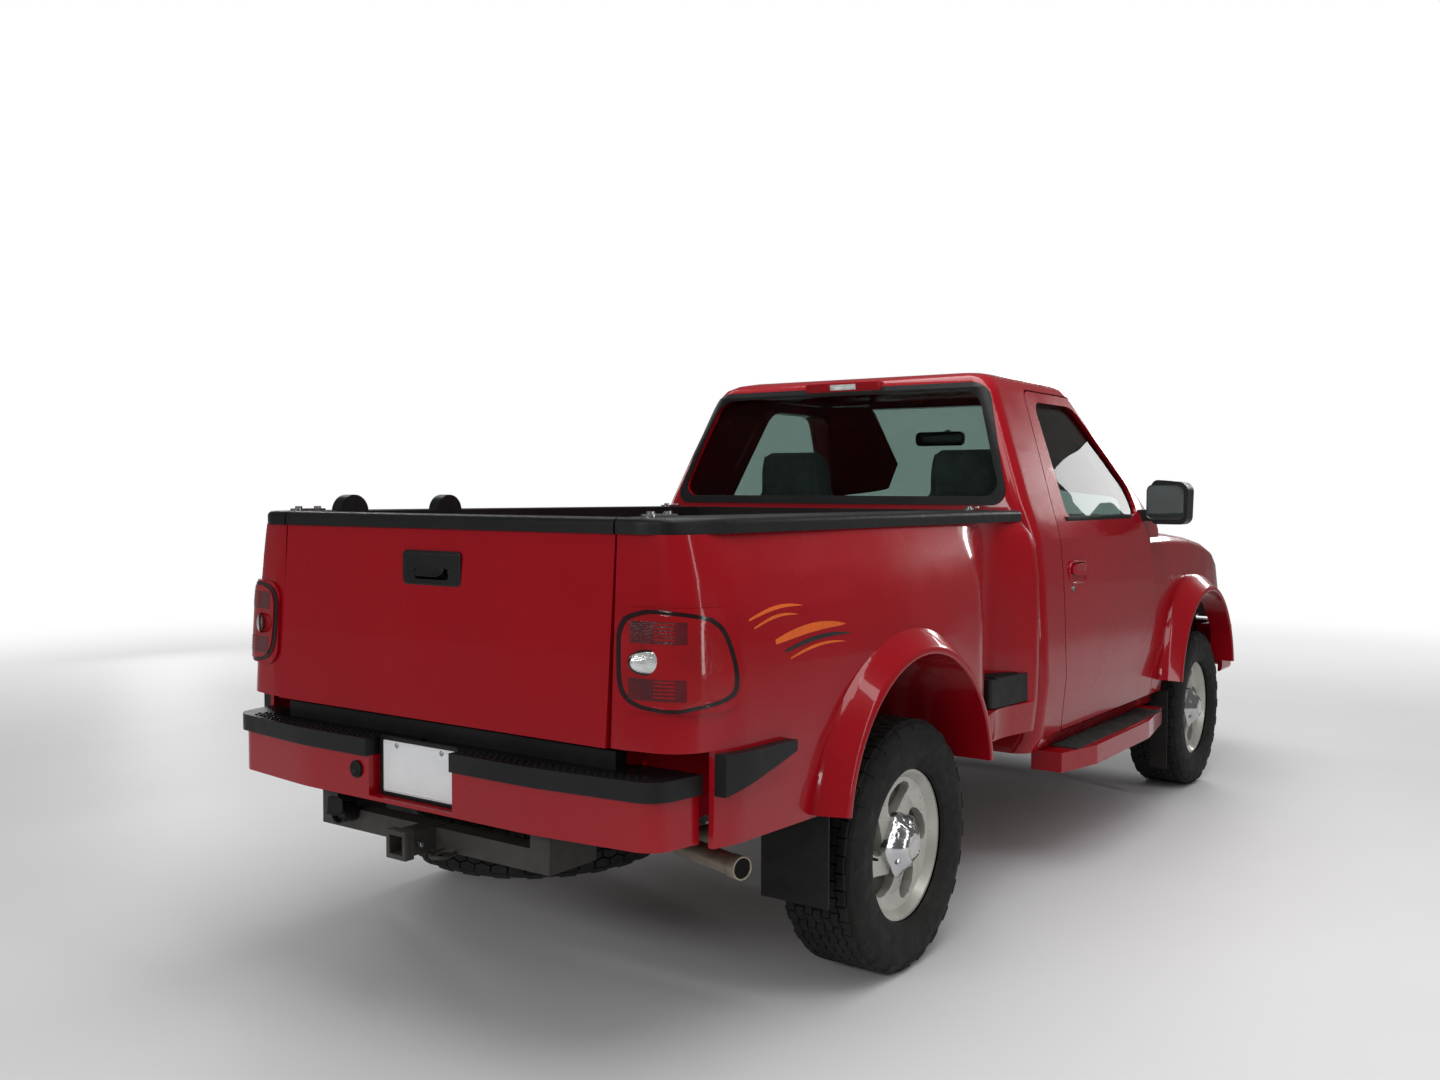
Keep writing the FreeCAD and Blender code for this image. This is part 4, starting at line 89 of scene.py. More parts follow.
bpy.ops.object.select_all(action="DESELECT")
bpy.ops.mesh.primitive_circle_add(vertices=96, radius=60.0, fill_type="NGON")
floor = bpy.context.object
floor.name = "studio_floor"
floor_finish = bpy.data.materials.new("pale_floor")
floor_finish.use_nodes = True
floor_tree = floor_finish.node_tree
floor_shader = floor_tree.nodes["Principled BSDF"]
floor_shader.inputs["Roughness"].default_value = 0.55
floor_shader.inputs["Specular IOR Level"].default_value = 0.25
floor_place = floor_tree.nodes.new("ShaderNodeTexCoord")
floor_cloud = wire(floor_tree, "TexNoise", Scale=0.9, Detail=6.0)
floor_tones = floor_tree.nodes.new("ShaderNodeValToRGB")
floor_tones.color_ramp.elements[0].color = (0.60, 0.60, 0.61, 1)
floor_tones.color_ramp.elements[1].color = (0.68, 0.68, 0.69, 1)
floor_reach = wire(floor_tree, "VectorMath")
floor_reach.operation = "LENGTH"
floor_edge = wire(floor_tree, "MapRange", From_Min=3.2, From_Max=11.0)
floor_edge.interpolation_type = "SMOOTHSTEP"
floor_glow = wire(floor_tree, "Emission", Strength=1.0)
floor_path = floor_tree.nodes.new("ShaderNodeLightPath")
floor_seen = wire(floor_tree, "Math")
floor_seen.operation = "MULTIPLY"
floor_mix = floor_tree.nodes.new("ShaderNodeMixShader")
floor_end = floor_tree.nodes["Material Output"]
join(floor_tree, (floor_place, "Object", floor_cloud, "Vector"),
     (floor_cloud, "Fac", floor_tones, "Fac"), (floor_tones, "Color", floor_shader, "Base Color"),
     (floor_place, "Object", floor_reach, 0), (floor_reach, "Value", floor_edge, "Value"),
     (floor_edge, "Result", floor_seen, 0), (floor_path, "Is Camera Ray", floor_seen, 1),
     (floor_seen, "Value", floor_mix, "Fac"), (floor_shader, "BSDF", floor_mix, 1),
     (floor_glow, "Emission", floor_mix, 2), (floor_mix, "Shader", floor_end, "Surface"))
floor.data.materials.append(floor_finish)


# Studio light
# A white room round the truck, one large soft box overhead and a lower one on each side, as in
# a car photographer's bay.
world = bpy.data.worlds.new("studio_room")
bpy.context.scene.world = world
world.use_nodes = True
world_tree = world.node_tree
world_tree.nodes.clear()
world_path = world_tree.nodes.new("ShaderNodeLightPath")
world_seen = wire(world_tree, "Math")
world_seen.operation = "MAXIMUM"
world_level = wire(world_tree, "MapRange", To_Min=0.34, To_Max=1.0)
world_glossy = wire(world_tree, "MapRange", To_Min=0.0, To_Max=0.20)
world_drop = wire(world_tree, "Math")
world_drop.operation = "SUBTRACT"
world_light = wire(world_tree, "Background", Color=(1.0, 1.0, 1.0, 1.0))
world_end = world_tree.nodes.new("ShaderNodeOutputWorld")
join(world_tree, (world_path, "Is Glossy Ray", world_glossy, "Value"),
     (world_path, "Is Camera Ray", world_seen, 0),
     (world_path, "Is Transmission Ray", world_seen, 1),
     (world_seen, "Value", world_level, "Value"), (world_level, "Result", world_drop, 0),
     (world_glossy, "Result", world_drop, 1), (world_drop, "Value", world_light, "Strength"),
     (world_light, "Background", world_end, "Surface"))

for lamp_name, lamp_place, lamp_aim, lamp_size, lamp_power in (
    ("soft_box_over", (-0.6, 0.5, 5.6), (0.0, 0.0, 0.8), (2.6, 8.0), 260.0),
    ("soft_box_right", (-6.0, 1.2, 3.9), (0.0, 0.2, 0.9), (0.7, 7.5), 80.0),
    ("soft_box_left", (6.0, -1.0, 3.9), (0.0, 0.0, 0.9), (0.7, 7.5), 80.0),
    ("soft_box_rear", (0.0, 8.5, 3.4), (0.0, 1.5, 0.9), (6.0, 0.9), 170.0),
    ("soft_box_front", (0.0, -8.5, 3.4), (0.0, -1.5, 0.9), (6.0, 0.9), 170.0),
):
    lamp_data = bpy.data.lights.new(lamp_name, "AREA")
    lamp_data.shape = "RECTANGLE"
    lamp_data.size, lamp_data.size_y = lamp_size
    lamp_data.energy = lamp_power
    lamp = bpy.data.objects.new(lamp_name, lamp_data)
    lamp.location = lamp_place
    lamp_look = Vector(lamp_aim) - Vector(lamp_place)
    lamp.rotation_euler = lamp_look.to_track_quat("-Z", "Y").to_euler()
    lamp.visible_camera = False
    lamp.visible_transmission = False
    bpy.context.scene.collection.objects.link(lamp)


# Chassis frame
# Two boxed side rails and their crossmembers, pressed from thick steel plate, welded, and
# dipped in black frame paint that road dust has dulled along the lower edges.
def make_finish(name, dark, light, rough, metal=0.0, cloud=3.0, grain=300.0, depth=0.0003,
                coat=0.0, dust=0.0, cells=False, sheen=0.0, shine=0.35):
    """A finish with a cloudy tone, an uneven gloss and a raised grain, all measured in metres."""
    finish = bpy.data.materials.new(name)
    finish.use_nodes = True
    tree = finish.node_tree
    shader = tree.nodes["Principled BSDF"]
    for socket, value in (("Metallic", metal), ("Specular IOR Level", shine),
                          ("Coat Weight", coat), ("Coat Roughness", 0.04),
                          ("Sheen Weight", sheen)):
        shader.inputs[socket].default_value = value
    place = tree.nodes.new("ShaderNodeTexCoord")
    tone_cloud = wire(tree, "TexNoise", Scale=cloud, Detail=6.0, Roughness=0.6)
    tones = tree.nodes.new("ShaderNodeValToRGB")
    tones.color_ramp.elements[0].position = 0.32
    tones.color_ramp.elements[1].position = 0.70
    tones.color_ramp.elements[0].color = (*dark, 1)
    tones.color_ramp.elements[1].color = (*light, 1)
    gloss_cloud = wire(tree, "TexNoise", Scale=cloud * 5, Detail=5.0)
    gloss = wire(tree, "MapRange", From_Min=0.3, From_Max=0.7, To_Min=rough[0], To_Max=rough[1])
    join(tree, (place, "Object", tone_cloud, "Vector"), (place, "Object", gloss_cloud, "Vector"),
         (tone_cloud, "Fac", tones, "Fac"), (gloss_cloud, "Fac", gloss, "Value"),
         (gloss, "Result", shader, "Roughness"))
    raised = (wire(tree, "TexVoronoi", Scale=grain) if cells
              else wire(tree, "TexNoise", Scale=grain, Detail=3.0))
    relief = wire(tree, "Bump", Strength=0.6, Distance=depth)
    join(tree, (place, "Object", raised, "Vector"),
         (raised, "Distance" if cells else "Fac", relief, "Height"),
         (relief, "Normal", shader, "Normal"))
    tone = tones.outputs["Color"]
    if dust:
        split = tree.nodes.new("ShaderNodeSeparateXYZ")
        low = wire(tree, "MapRange", From_Min=0.85, From_Max=0.1, To_Min=0.0, To_Max=dust)
        patch = wire(tree, "TexNoise", Scale=9.0, Detail=8.0, Roughness=0.7)
        amount = wire(tree, "Math")
        amount.operation = "MULTIPLY"
        dusty = tree.nodes.new("ShaderNodeMix")
        dusty.data_type = "RGBA"
        dusty.inputs[7].default_value = (0.16, 0.14, 0.115, 1)
        join(tree, (place, "Object", split, "Vector"), (place, "Object", patch, "Vector"),
             (split, "Z", low, "Value"), (low, "Result", amount, 0), (patch, "Fac", amount, 1),
             (amount, "Value", dusty, "Factor"))
        tree.links.new(tone, dusty.inputs[6])
        tone = dusty.outputs[2]
    tree.links.new(tone, shader.inputs["Base Color"])
    return finish


def dress(finish, *names):
    """Gives CAD nodes their finish."""
    for name in names:
        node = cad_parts[name]
        if not node.material_slots:
            node.data.materials.append(finish)
        for node_slot in node.material_slots:
            node_slot.material = finish


frame_paint = make_finish("frame_paint", (0.012, 0.012, 0.013), (0.030, 0.029, 0.028),
                          (0.38, 0.62), cloud=5.0, grain=160.0, depth=0.0006, dust=0.5)
dress(frame_paint, "chassis_frame", "radiator_support", "tow_hitch")


# Suspension and axles
# Cast and forged pieces in bare grey iron, with drawn steel shafts, springs and arms under a
# film of road dust.
cast_iron = make_finish("cast_iron", (0.055, 0.052, 0.050), (0.13, 0.12, 0.11), (0.5, 0.8),
                        metal=0.4, cloud=8.0, grain=90.0, depth=0.0012, dust=0.5)
drawn_steel = make_finish("drawn_steel", (0.10, 0.10, 0.10), (0.22, 0.21, 0.20), (0.32, 0.55),
                          metal=0.8, cloud=10.0, grain=220.0, depth=0.0004, dust=0.4)
dress(cast_iron, "left_knuckle", "right_knuckle", "engine_block", "rear_axle")
dress(drawn_steel, "front_suspension", "driveline")


# Radiator
# A soldered aluminium core in one plain block, its metal bright and finely rough.
fin_metal = make_finish("fin_metal", (0.10, 0.10, 0.11), (0.20, 0.20, 0.21), (0.35, 0.5),
                        metal=0.7, cloud=6.0, grain=500.0, depth=0.0010)
dress(fin_metal, "radiator")


# Exhaust
# Aluminised steel pipe and muffler, heat-browned and dull beige at the tail.
exhaust_metal = make_finish("exhaust_metal", (0.20, 0.165, 0.12), (0.42, 0.37, 0.30),
                            (0.38, 0.62), metal=0.75, cloud=7.0, grain=140.0, depth=0.0006)
dress(exhaust_metal, "exhaust")


# Fuel tank
# A blow-moulded black plastic tank with a faintly rippled skin.
tank_plastic = make_finish("tank_plastic", (0.014, 0.014, 0.015), (0.028, 0.028, 0.029),
                           (0.45, 0.6), cloud=4.0, grain=60.0, depth=0.0010, dust=0.4)
dress(tank_plastic, "fuel_tank")


# Tyres
# All-terrain radials: a black rubber casing moulded with staggered tread blocks, shoulder lugs
# and a plain ribbed sidewall. One is modelled and copied to the four hubs and the spare.
def start(kind, **sizes):
    """Adds a primitive with nothing else selected, its place kept in its mesh."""
    bpy.ops.object.select_all(action="DESELECT")
    getattr(bpy.ops.mesh, "primitive_" + kind + "_add")(**sizes)
    bpy.ops.object.transform_apply(location=True, rotation=True, scale=True)
    return bpy.context.object


def pick(piece, test, kind="FACE"):
    """Opens the piece for shaping with only those faces or edges selected that pass the test."""
    bpy.context.view_layer.objects.active = piece
    bpy.ops.object.mode_set(mode="EDIT")
    bpy.ops.mesh.select_mode(type=kind)
    bpy.ops.mesh.select_all(action="DESELECT")
    bpy.ops.object.mode_set(mode="OBJECT")
    points = piece.data.vertices
    if kind == "FACE":
        for face in piece.data.polygons:
            face.select = bool(test(face.center, face.normal))
    elif kind == "EDGE":
        for edge in piece.data.edges:
            edge.select = bool(test(points[edge.vertices[0]].co, points[edge.vertices[1]].co))
    else:
        for point in points:
            point.select = bool(test(point.co))
    bpy.ops.object.mode_set(mode="EDIT")


def shape_by(piece, kind, **settings):
    """Puts a modifier on the active piece with its settings, and applies it."""
    modifier = piece.modifiers.new(kind.lower(), kind)
    for key, value in settings.items():
        setattr(modifier, key, value)
    bpy.ops.object.modifier_apply(modifier=modifier.name)


def face_out(piece):
    """Turns all the piece's faces outward."""
    pick(piece, lambda c, n: True)
    bpy.ops.mesh.normals_make_consistent(inside=False)


def extrude(*move):
    """Extrudes the selected faces or edges and moves them."""
    bpy.ops.mesh.extrude_region_move(TRANSFORM_OT_translate={"value": move})


def close(piece, name, finish, body, slot, ease=0.0, rounds=2, angle=32, level=False):
    """Eases the edges, smooths the faces, and gives the piece its name, finish and body."""
    if bpy.context.mode != "OBJECT":
        bpy.ops.object.mode_set(mode="OBJECT")
    bpy.ops.object.select_all(action="DESELECT")
    piece.select_set(True)
    bpy.context.view_layer.objects.active = piece
    if ease:
        shape_by(piece, "BEVEL", width=ease, segments=rounds, limit_method="ANGLE",
                 angle_limit=radians(30))
    bpy.ops.object.shade_smooth_by_angle(angle=radians(angle))
    if level:
        shape_by(piece, "WEIGHTED_NORMAL", keep_sharp=True)
    piece.name = name
    piece.data.name = name
    piece.data.materials.clear()
    piece.data.materials.append(finish)
    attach(piece, body)
    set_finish(piece, slot)
    return piece


def copy_piece(piece, name, body, move=(0, 0, 0), flip=False, turn=None):
    """A copy with its own mesh, flipped to the other side, turned about an axis, or moved."""
    copy = bpy.data.objects.new(name, piece.data.copy())
    bpy.context.scene.collection.objects.link(copy)
    copy.data.name = name
    if turn:
        copy.data.transform(Matrix.Rotation(turn[0], 4, turn[1]))
    if flip:
        copy.data.transform(Matrix.Scale(-1, 4, (1, 0, 0)))
        copy.data.flip_normals()
    copy.data.transform(Matrix.Translation(move))
    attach(copy, body)
    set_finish(copy, piece["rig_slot"])
    return copy


lying_x, lying_y = (0, pi / 2, 0), (pi / 2, 0, 0)
tyre_rubber = make_finish("tyre_rubber", (0.0050, 0.0050, 0.0050), (0.011, 0.0108, 0.0105),
                          (0.62, 0.85), cloud=6.0, grain=420.0, depth=0.0004, dust=0.08,
                          shine=0.25)
front_axle_y = (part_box("left_front_tyre")[0].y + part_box("left_front_tyre")[1].y) / 2
rear_axle_y = (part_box("left_rear_tyre")[0].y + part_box("left_rear_tyre")[1].y) / 2
axle_gap = front_axle_y - rear_axle_y
hub_height = 0.375
tyre_x = 0.83
tread_base = 0.3655
tread_depth = 0.009
tread_half = 0.100
tread_cells = 96
tread_columns = 7
wall_rings = ((0.112, 0.361), (0.120, 0.344), (0.1245, 0.324), (0.1258, 0.300), (0.1245, 0.272),
              (0.120, 0.246), (0.112, 0.231), (0.101, 0.2245))


def cell_of(place):
    """Which step round the tyre, and which column across it, a face of the tread lies in."""
    angle = atan2(place.z, place.y) % (2 * pi)
    step = int(angle / (2 * pi) * tread_cells)
    return step, int((place.x + tread_half) / (2 * tread_half) * tread_columns)


tyre = start("cylinder", vertices=tread_cells, radius=tread_base, depth=2 * tread_half,
             end_fill_type="NOTHING", rotation=lying_x)
pick(tyre, lambda a, b: abs(a.x - b.x) > 0.01, "EDGE")
bpy.ops.mesh.subdivide(number_cuts=tread_columns - 1)
for parity, shift in ((0, 0.0045), (1, -0.0045)):
    pick(tyre, lambda p: abs(p.x) < tread_half * 0.95
         and round(atan2(p.z, p.y) / (2 * pi) * tread_cells) % 2 == parity, "VERT")
    bpy.ops.transform.translate(value=(shift, 0, 0))
for side in (-1, 1):
    pick(tyre, lambda a, b: abs(a.x - side * tread_half) < 1e-4
         and abs(b.x - side * tread_half) < 1e-4, "EDGE")
    last_x, last_radius = tread_half, tread_base
    for ring_x, ring_radius in wall_rings:
        extrude(side * (ring_x - last_x), 0, 0)
        shrink = ring_radius / last_radius
        bpy.ops.transform.resize(value=(1, shrink, shrink), center_override=(0, 0, 0))
        last_x, last_radius = ring_x, ring_radius
for column_parity in (0, 1):
    for block_parity in (0, 1):
        pick(tyre, lambda c, n: abs(c.x) < tread_half - 0.001
             and cell_of(c)[1] % 2 == column_parity
             and (cell_of(c)[0] + cell_of(c)[1] % 2) // 2 % 2 == block_parity)
        bpy.ops.mesh.inset(thickness=0.0026, depth=tread_depth, use_even_offset=True)
pick(tyre, lambda c, n: 0.100 < abs(c.x) < 0.118 and (c.y ** 2 + c.z ** 2) ** 0.5 > 0.345
     and cell_of(c)[0] // 2 % 2 == 0)
bpy.ops.mesh.inset(thickness=0.002, depth=0.0035, use_even_offset=True)
pick(tyre, lambda c, n: abs(c.x) > 0.1248 and (c.y ** 2 + c.z ** 2) ** 0.5 > 0.30
     and cell_of(c)[0] % 12 < 9)
bpy.ops.mesh.inset(thickness=0.003, depth=0.0006, use_even_offset=True)
face_out(tyre)
close(tyre, "left_rear_casing", tyre_rubber, "left_rear_wheel", "tyre_rubber", angle=24)
tyre.data.transform(Matrix.Translation((tyre_x, rear_axle_y, hub_height)))
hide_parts("left_rear_tyre")
for tyre_corner, tyre_move in (
    ("right_rear", (-2 * tyre_x, 0, 0)), ("left_front", (0, axle_gap, 0)),
    ("right_front", (-2 * tyre_x, axle_gap, 0)),
):
    corner_tyre = copy_piece(tyre, tyre_corner + "_casing", tyre_corner + "_wheel", tyre_move)
    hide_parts(tyre_corner + "_tyre")


# Spare wheel
# A full-size spare held flat under the bed: the same casing round a pressed steel disc in
# black frame paint.
def inset(*steps):
    """Insets the selected faces again and again, each time by a width and a depth."""
    for width, depth in steps:
        bpy.ops.mesh.inset(thickness=width, depth=depth)


spare_low, spare_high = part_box("spare_wheel")
spare_y = (spare_low.y + spare_high.y) / 2
spare_z = (spare_low.z + spare_high.z) / 2
spare = copy_piece(tyre, "spare_casing", "chassis", (-tyre_x, -rear_axle_y, -hub_height))
spare.data.transform(Matrix.Translation((0, spare_y, spare_z)) @ Matrix.Rotation(pi / 2, 4, "Y")
                     @ Matrix.Diagonal((0.90, 1, 1, 1)))
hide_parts("spare_wheel")
spare_disc = start("cylinder", vertices=48, radius=0.2235, depth=0.030,
                   location=(0, spare_y, spare_z - 0.04))
pick(spare_disc, lambda c, n: n.z < -0.9)
inset((0.05, -0.012), (0.06, 0.030), (0.04, 0.004), (0.03, -0.012))
close(spare_disc, "spare_disc", frame_paint, "chassis", "frame_paint", ease=0.003)


# Rims
# Cast alloy wheels in a cream-silver paint under clear lacquer, with a chromed five-lobed cap
# pressed over each hub and a rubber valve.
wheel_paint = make_finish("wheel_paint", (0.42, 0.41, 0.365), (0.53, 0.52, 0.47), (0.26, 0.40),
                          metal=0.30, cloud=9.0, grain=700.0, depth=0.00006, coat=0.35)
dress(wheel_paint, "left_front_rim", "right_front_rim", "left_rear_rim", "right_rear_rim")
bright_trim = make_finish("bright_trim", (0.55, 0.55, 0.56), (0.66, 0.66, 0.67), (0.10, 0.22),
                          metal=1.0, cloud=12.0, grain=400.0, depth=0.00005)
other_hubs = (
    # the wheel, how far its pieces move from the left rear one, and whether they flip over
    ("right_rear", (0, 0, 0), True), ("left_front", (0, axle_gap, 0), False),
    ("right_front", (0, axle_gap, 0), True),
)
cap_lobes = 5
cap_centre = (0.904, 0, 0)
nut_circle = 0.064
cap = start("cylinder", vertices=80, radius=0.101, depth=0.018, rotation=lying_x,
            location=cap_centre)
for lobe_low, lobe_high, lobe_share in ((-1.0, -0.75, 0.86), (-0.75, -0.2, 0.885),
                                        (-0.2, 0.4, 0.93), (0.4, 0.85, 0.975)):
    pick(cap, lambda p: lobe_low <= cos(cap_lobes * atan2(p.z, p.y)) < lobe_high, "VERT")
    bpy.ops.transform.resize(value=(1, lobe_share, lobe_share), center_override=cap_centre)
pick(cap, lambda c, n: n.x > 0.9)
for cap_rise, cap_share in ((0.004, 0.95), (0.004, 0.90), (0.010, 0.86), (0.012, 0.86),
                            (0.009, 0.80), (0.003, 0.84), (-0.003, 0.95), (0.003, 0.88),
                            (0.002, 0.5)):
    extrude(cap_rise, 0, 0)
    bpy.ops.transform.resize(value=(1, cap_share, cap_share), center_override=cap_centre)
close(cap, "left_rear_cap", bright_trim, "left_rear_wheel", "bright_trim", angle=40)
cap.data.transform(Matrix.Translation((0, rear_axle_y, hub_height)))
for lug in range(cap_lobes):
    lug_angle = (lug + 0.5) / cap_lobes * 2 * pi
    nut = start("cylinder", vertices=6, radius=0.0105, depth=0.020, rotation=lying_x,
                location=(0.922, nut_circle * cos(lug_angle), nut_circle * sin(lug_angle)))
    pick(nut, lambda c, n: n.x > 0.9)
    inset((0.003, 0.002))
    close(nut, f"left_rear_nut_{lug}", bright_trim, "left_rear_wheel", "bright_trim")
    nut.data.transform(Matrix.Translation((0, rear_axle_y, hub_height)))
    for hub, hub_move, hub_flip in other_hubs:
        copy_piece(nut, f"{hub}_nut_{lug}", hub + "_wheel", hub_move, hub_flip)
valve = start("cylinder", vertices=16, radius=0.0045, depth=0.030, rotation=lying_x,
              location=(0.915, 0.192, 0))
pick(valve, lambda c, n: n.x > 0.9)
inset((0.0012, 0.008))
close(valve, "left_rear_valve", tyre_rubber, "left_rear_wheel", "tyre_rubber", ease=0.0008)
valve.data.transform(Matrix.Translation((0, rear_axle_y, hub_height)))
for hub, hub_move, hub_flip in other_hubs:
    copy_piece(cap, hub + "_cap", hub + "_wheel", hub_move, hub_flip)
    copy_piece(valve, hub + "_valve", hub + "_wheel", hub_move, hub_flip)


# Painted shell
# Pressed steel panels in a deep cherry red under clear lacquer, with the faint orange-peel
# ripple of sprayed paint. Each panel is its CAD form with its skin joined and smoothed.
def smooth_copy(node, ending, finish, body, slot):
    """A copy of a CAD node with its faces joined and smoothed, which takes the node's place."""
    skin = bpy.data.objects.new(node + ending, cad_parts[node].data.copy())
    bpy.context.scene.collection.objects.link(skin)
    pick(skin, lambda c, n: True)
    bpy.ops.mesh.customdata_custom_splitnormals_clear()
    bpy.ops.mesh.remove_doubles(threshold=0.00006)
    close(skin, node + ending, finish, body, slot, angle=28, level=True)
    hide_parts(node)


body_paint = make_finish("body_paint", (0.265, 0.0020, 0.0070), (0.305, 0.0030, 0.0090),
                         (0.20, 0.30), cloud=1.1, grain=240.0, depth=0.00002, coat=0.55,
                         shine=0.10)
for panel, panel_body in (
    ("cab", "chassis"), ("left_door", "left_door"), ("right_door", "right_door"),
    ("hood", "hood"), ("left_fender", "chassis"), ("right_fender", "chassis"),
    ("front_bumper", "chassis"), ("left_bed_side", "chassis"), ("right_bed_side", "chassis"),
    ("tailgate", "tailgate"), ("rear_bumper", "chassis"),
):
    smooth_copy(panel, "_skin", body_paint, panel_body, "body_paint")
dress(body_paint, "bed_tub", "running_boards")


# Black plastics
# Moulded trim with a fine leather grain: bumper pads, bed rail caps, steps and mirror shells.
grained_plastic = make_finish("grained_plastic", (0.0045, 0.0045, 0.0050),
                              (0.0090, 0.0090, 0.0096), (0.34, 0.48), cloud=5.0, grain=900.0,
                              depth=0.0003, cells=True, shine=0.28)
dress(grained_plastic, "rear_bumper_pads", "bed_rail_caps", "bed_steps", "left_mirror",
      "right_mirror", "rear_window_frame", "tailgate_trim", "steering_wheel")
flap_rubber = make_finish("flap_rubber", (0.0045, 0.0045, 0.0045), (0.009, 0.009, 0.009),
                          (0.5, 0.66), cloud=6.0, grain=300.0, depth=0.0004, dust=0.10,
                          shine=0.25)
dress(flap_rubber, "mud_flaps")
dress(bright_trim, "tie_down_cleats", "grille")


# Glass
# Green-tinted safety glass, thin and hard, with the faintest waviness.
tinted_glass = make_finish("tinted_glass", (0.36, 0.45, 0.42), (0.40, 0.49, 0.46), (0.0, 0.01),
                           cloud=2.0, grain=2.5, depth=0.00005, shine=0.5)
glass_shader = tinted_glass.node_tree.nodes["Principled BSDF"]
glass_shader.inputs["Transmission Weight"].default_value = 1.0
glass_shader.inputs["IOR"].default_value = 1.10
for pane, pane_body in (("cab_glass", "chassis"), ("left_door_glass", "left_door"),
                        ("right_door_glass", "right_door")):
    smooth_copy(pane, "_pane", tinted_glass, pane_body, "tinted_glass")


# Door furniture
# On each door: a body-coloured paddle handle in a round-ended cup, a key lock, a black wiper
# strip along the window's foot, and the mirror's glass.
def skin_of(node):
    """The skin of a CAD node, to cast rays at."""
    if node not in skins:
        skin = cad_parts[node].data
        skins[node] = BVHTree.FromPolygons([point.co for point in skin.vertices],
                                           [face.vertices for face in skin.polygons])
    return skins[node]


def side_of(node, y, z, side):
    """How far out the skin of a CAD node stands at a height and a place along the truck."""
    return skin_of(node).ray_cast(Vector((side * 1.5, y, z)), Vector((-side, 0, 0)))[0].x


def seat_on(piece, node, y, z, side, out=0.0):
    """Moves a piece out to the skin of a CAD node, or a little beyond it."""
    bpy.ops.object.mode_set(mode="OBJECT")
    piece.data.transform(Matrix.Translation((side_of(node, y, z, side) + side * out, 0, 0)))


def round_corners(piece, radius, segments):
    """Rounds the four corners of a flat piece that faces along the truck."""
    pick(piece, lambda a, b: abs(a.y - b.y) > 0.001, "EDGE")
    bpy.ops.mesh.bevel(offset=radius, segments=segments)


skins = {}
handle_y, handle_z = -0.055, 1.118
mirror_pane = make_finish("mirror_pane", (0.020, 0.026, 0.026), (0.030, 0.038, 0.038),
                          (0.04, 0.07), cloud=3.0, grain=20.0, depth=0.00002, shine=0.5,
                          coat=0.4)
lock_metal = make_finish("lock_metal", (0.30, 0.30, 0.31), (0.42, 0.42, 0.43), (0.22, 0.34),
                         metal=1.0, cloud=14.0, grain=300.0, depth=0.0001)
for door, side in (("left_door", 1), ("right_door", -1)):
    cup = start("cylinder", vertices=40, radius=0.046, depth=0.012, rotation=lying_x,
                location=(0, handle_y, handle_z))
    pick(cup, lambda p: p.y > handle_y, "VERT")
    bpy.ops.transform.translate(value=(0, 0.052, 0))
    pick(cup, lambda p: p.y < handle_y + 0.001, "VERT")
    bpy.ops.transform.translate(value=(0, -0.052, 0))
    pick(cup, lambda c, n: n.x > 0.9)
    inset((0.007, 0.0), (0.006, -0.011))
    bpy.ops.object.mode_set(mode="OBJECT")
    cup.data.transform(Matrix.Scale(side, 4, (1, 0, 0)))
    seat_on(cup, door, handle_y, handle_z, side)
    face_out(cup)
    close(cup, door + "_handle_cup", body_paint, door, "body_paint", ease=0.0025)
    paddle = start("cube", size=1, location=(0, handle_y - 0.006, handle_z + 0.012),
                   scale=(0.012, 0.150, 0.040))
    pick(paddle, lambda c, n: True)
    bpy.ops.mesh.subdivide(number_cuts=5)
    pick(paddle, lambda p: abs(p.y - handle_y + 0.006) > 0.060, "VERT")
    bpy.ops.transform.resize(value=(0.7, 1, 0.55),
                             center_override=(-0.004 * side, handle_y, handle_z + 0.012))
    pick(paddle, lambda c, n: n.z < -0.9)
    bpy.ops.transform.translate(value=(side * 0.004, 0, -0.004))
    seat_on(paddle, door, handle_y, handle_z, side, 0.004)
    close(paddle, door + "_handle", body_paint, door, "body_paint", ease=0.005, rounds=3)
    lock_y, lock_z = handle_y + 0.062, handle_z - 0.062
    lock = start("cylinder", vertices=24, radius=0.011, depth=0.012, rotation=lying_x,
                 location=(0, lock_y, lock_z))
    pick(lock, lambda c, n: n.x * side > 0.9)
    inset((0.003, -0.0015), (0.004, 0.0008))
    seat_on(lock, door, lock_y, lock_z, side)
    close(lock, door + "_lock", lock_metal, door, "bright_trim", ease=0.0006)
    sweep = start("cube", size=1, location=(0, -0.42, 1.3245), scale=(0.010, 0.80, 0.016))
    pick(sweep, lambda a, b: abs(a.y - b.y) > 0.1, "EDGE")
    bpy.ops.mesh.subdivide(number_cuts=24)
    pick(sweep, lambda c, n: n.z > 0.9)
    bpy.ops.transform.translate(value=(-side * 0.004, 0, 0.002))
    bpy.ops.object.mode_set(mode="OBJECT")
    for point in sweep.data.vertices:
        point.co.x += side_of(door, point.co.y, 1.312, side) - side * 0.0045
    close(sweep, door + "_sweep", flap_rubber, door, "black_plastic", ease=0.003)
    mirror_low, mirror_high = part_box(door.replace("door", "mirror"))
    mirror_middle = (mirror_low + mirror_high) / 2
    shell_x = side * (abs(mirror_middle.x) + 0.012)
    pane = start("cube", size=1, location=(shell_x, mirror_high.y + 0.0005, mirror_middle.z),
                 scale=(0.168, 0.004, 0.158))
    round_corners(pane, 0.030, 6)
    pick(pane, lambda c, n: n.y > 0.9)
    inset((0.006, -0.0015))
    close(pane, door.replace("door", "mirror") + "_glass", mirror_pane, door, "bright_trim",
          angle=20, level=True)


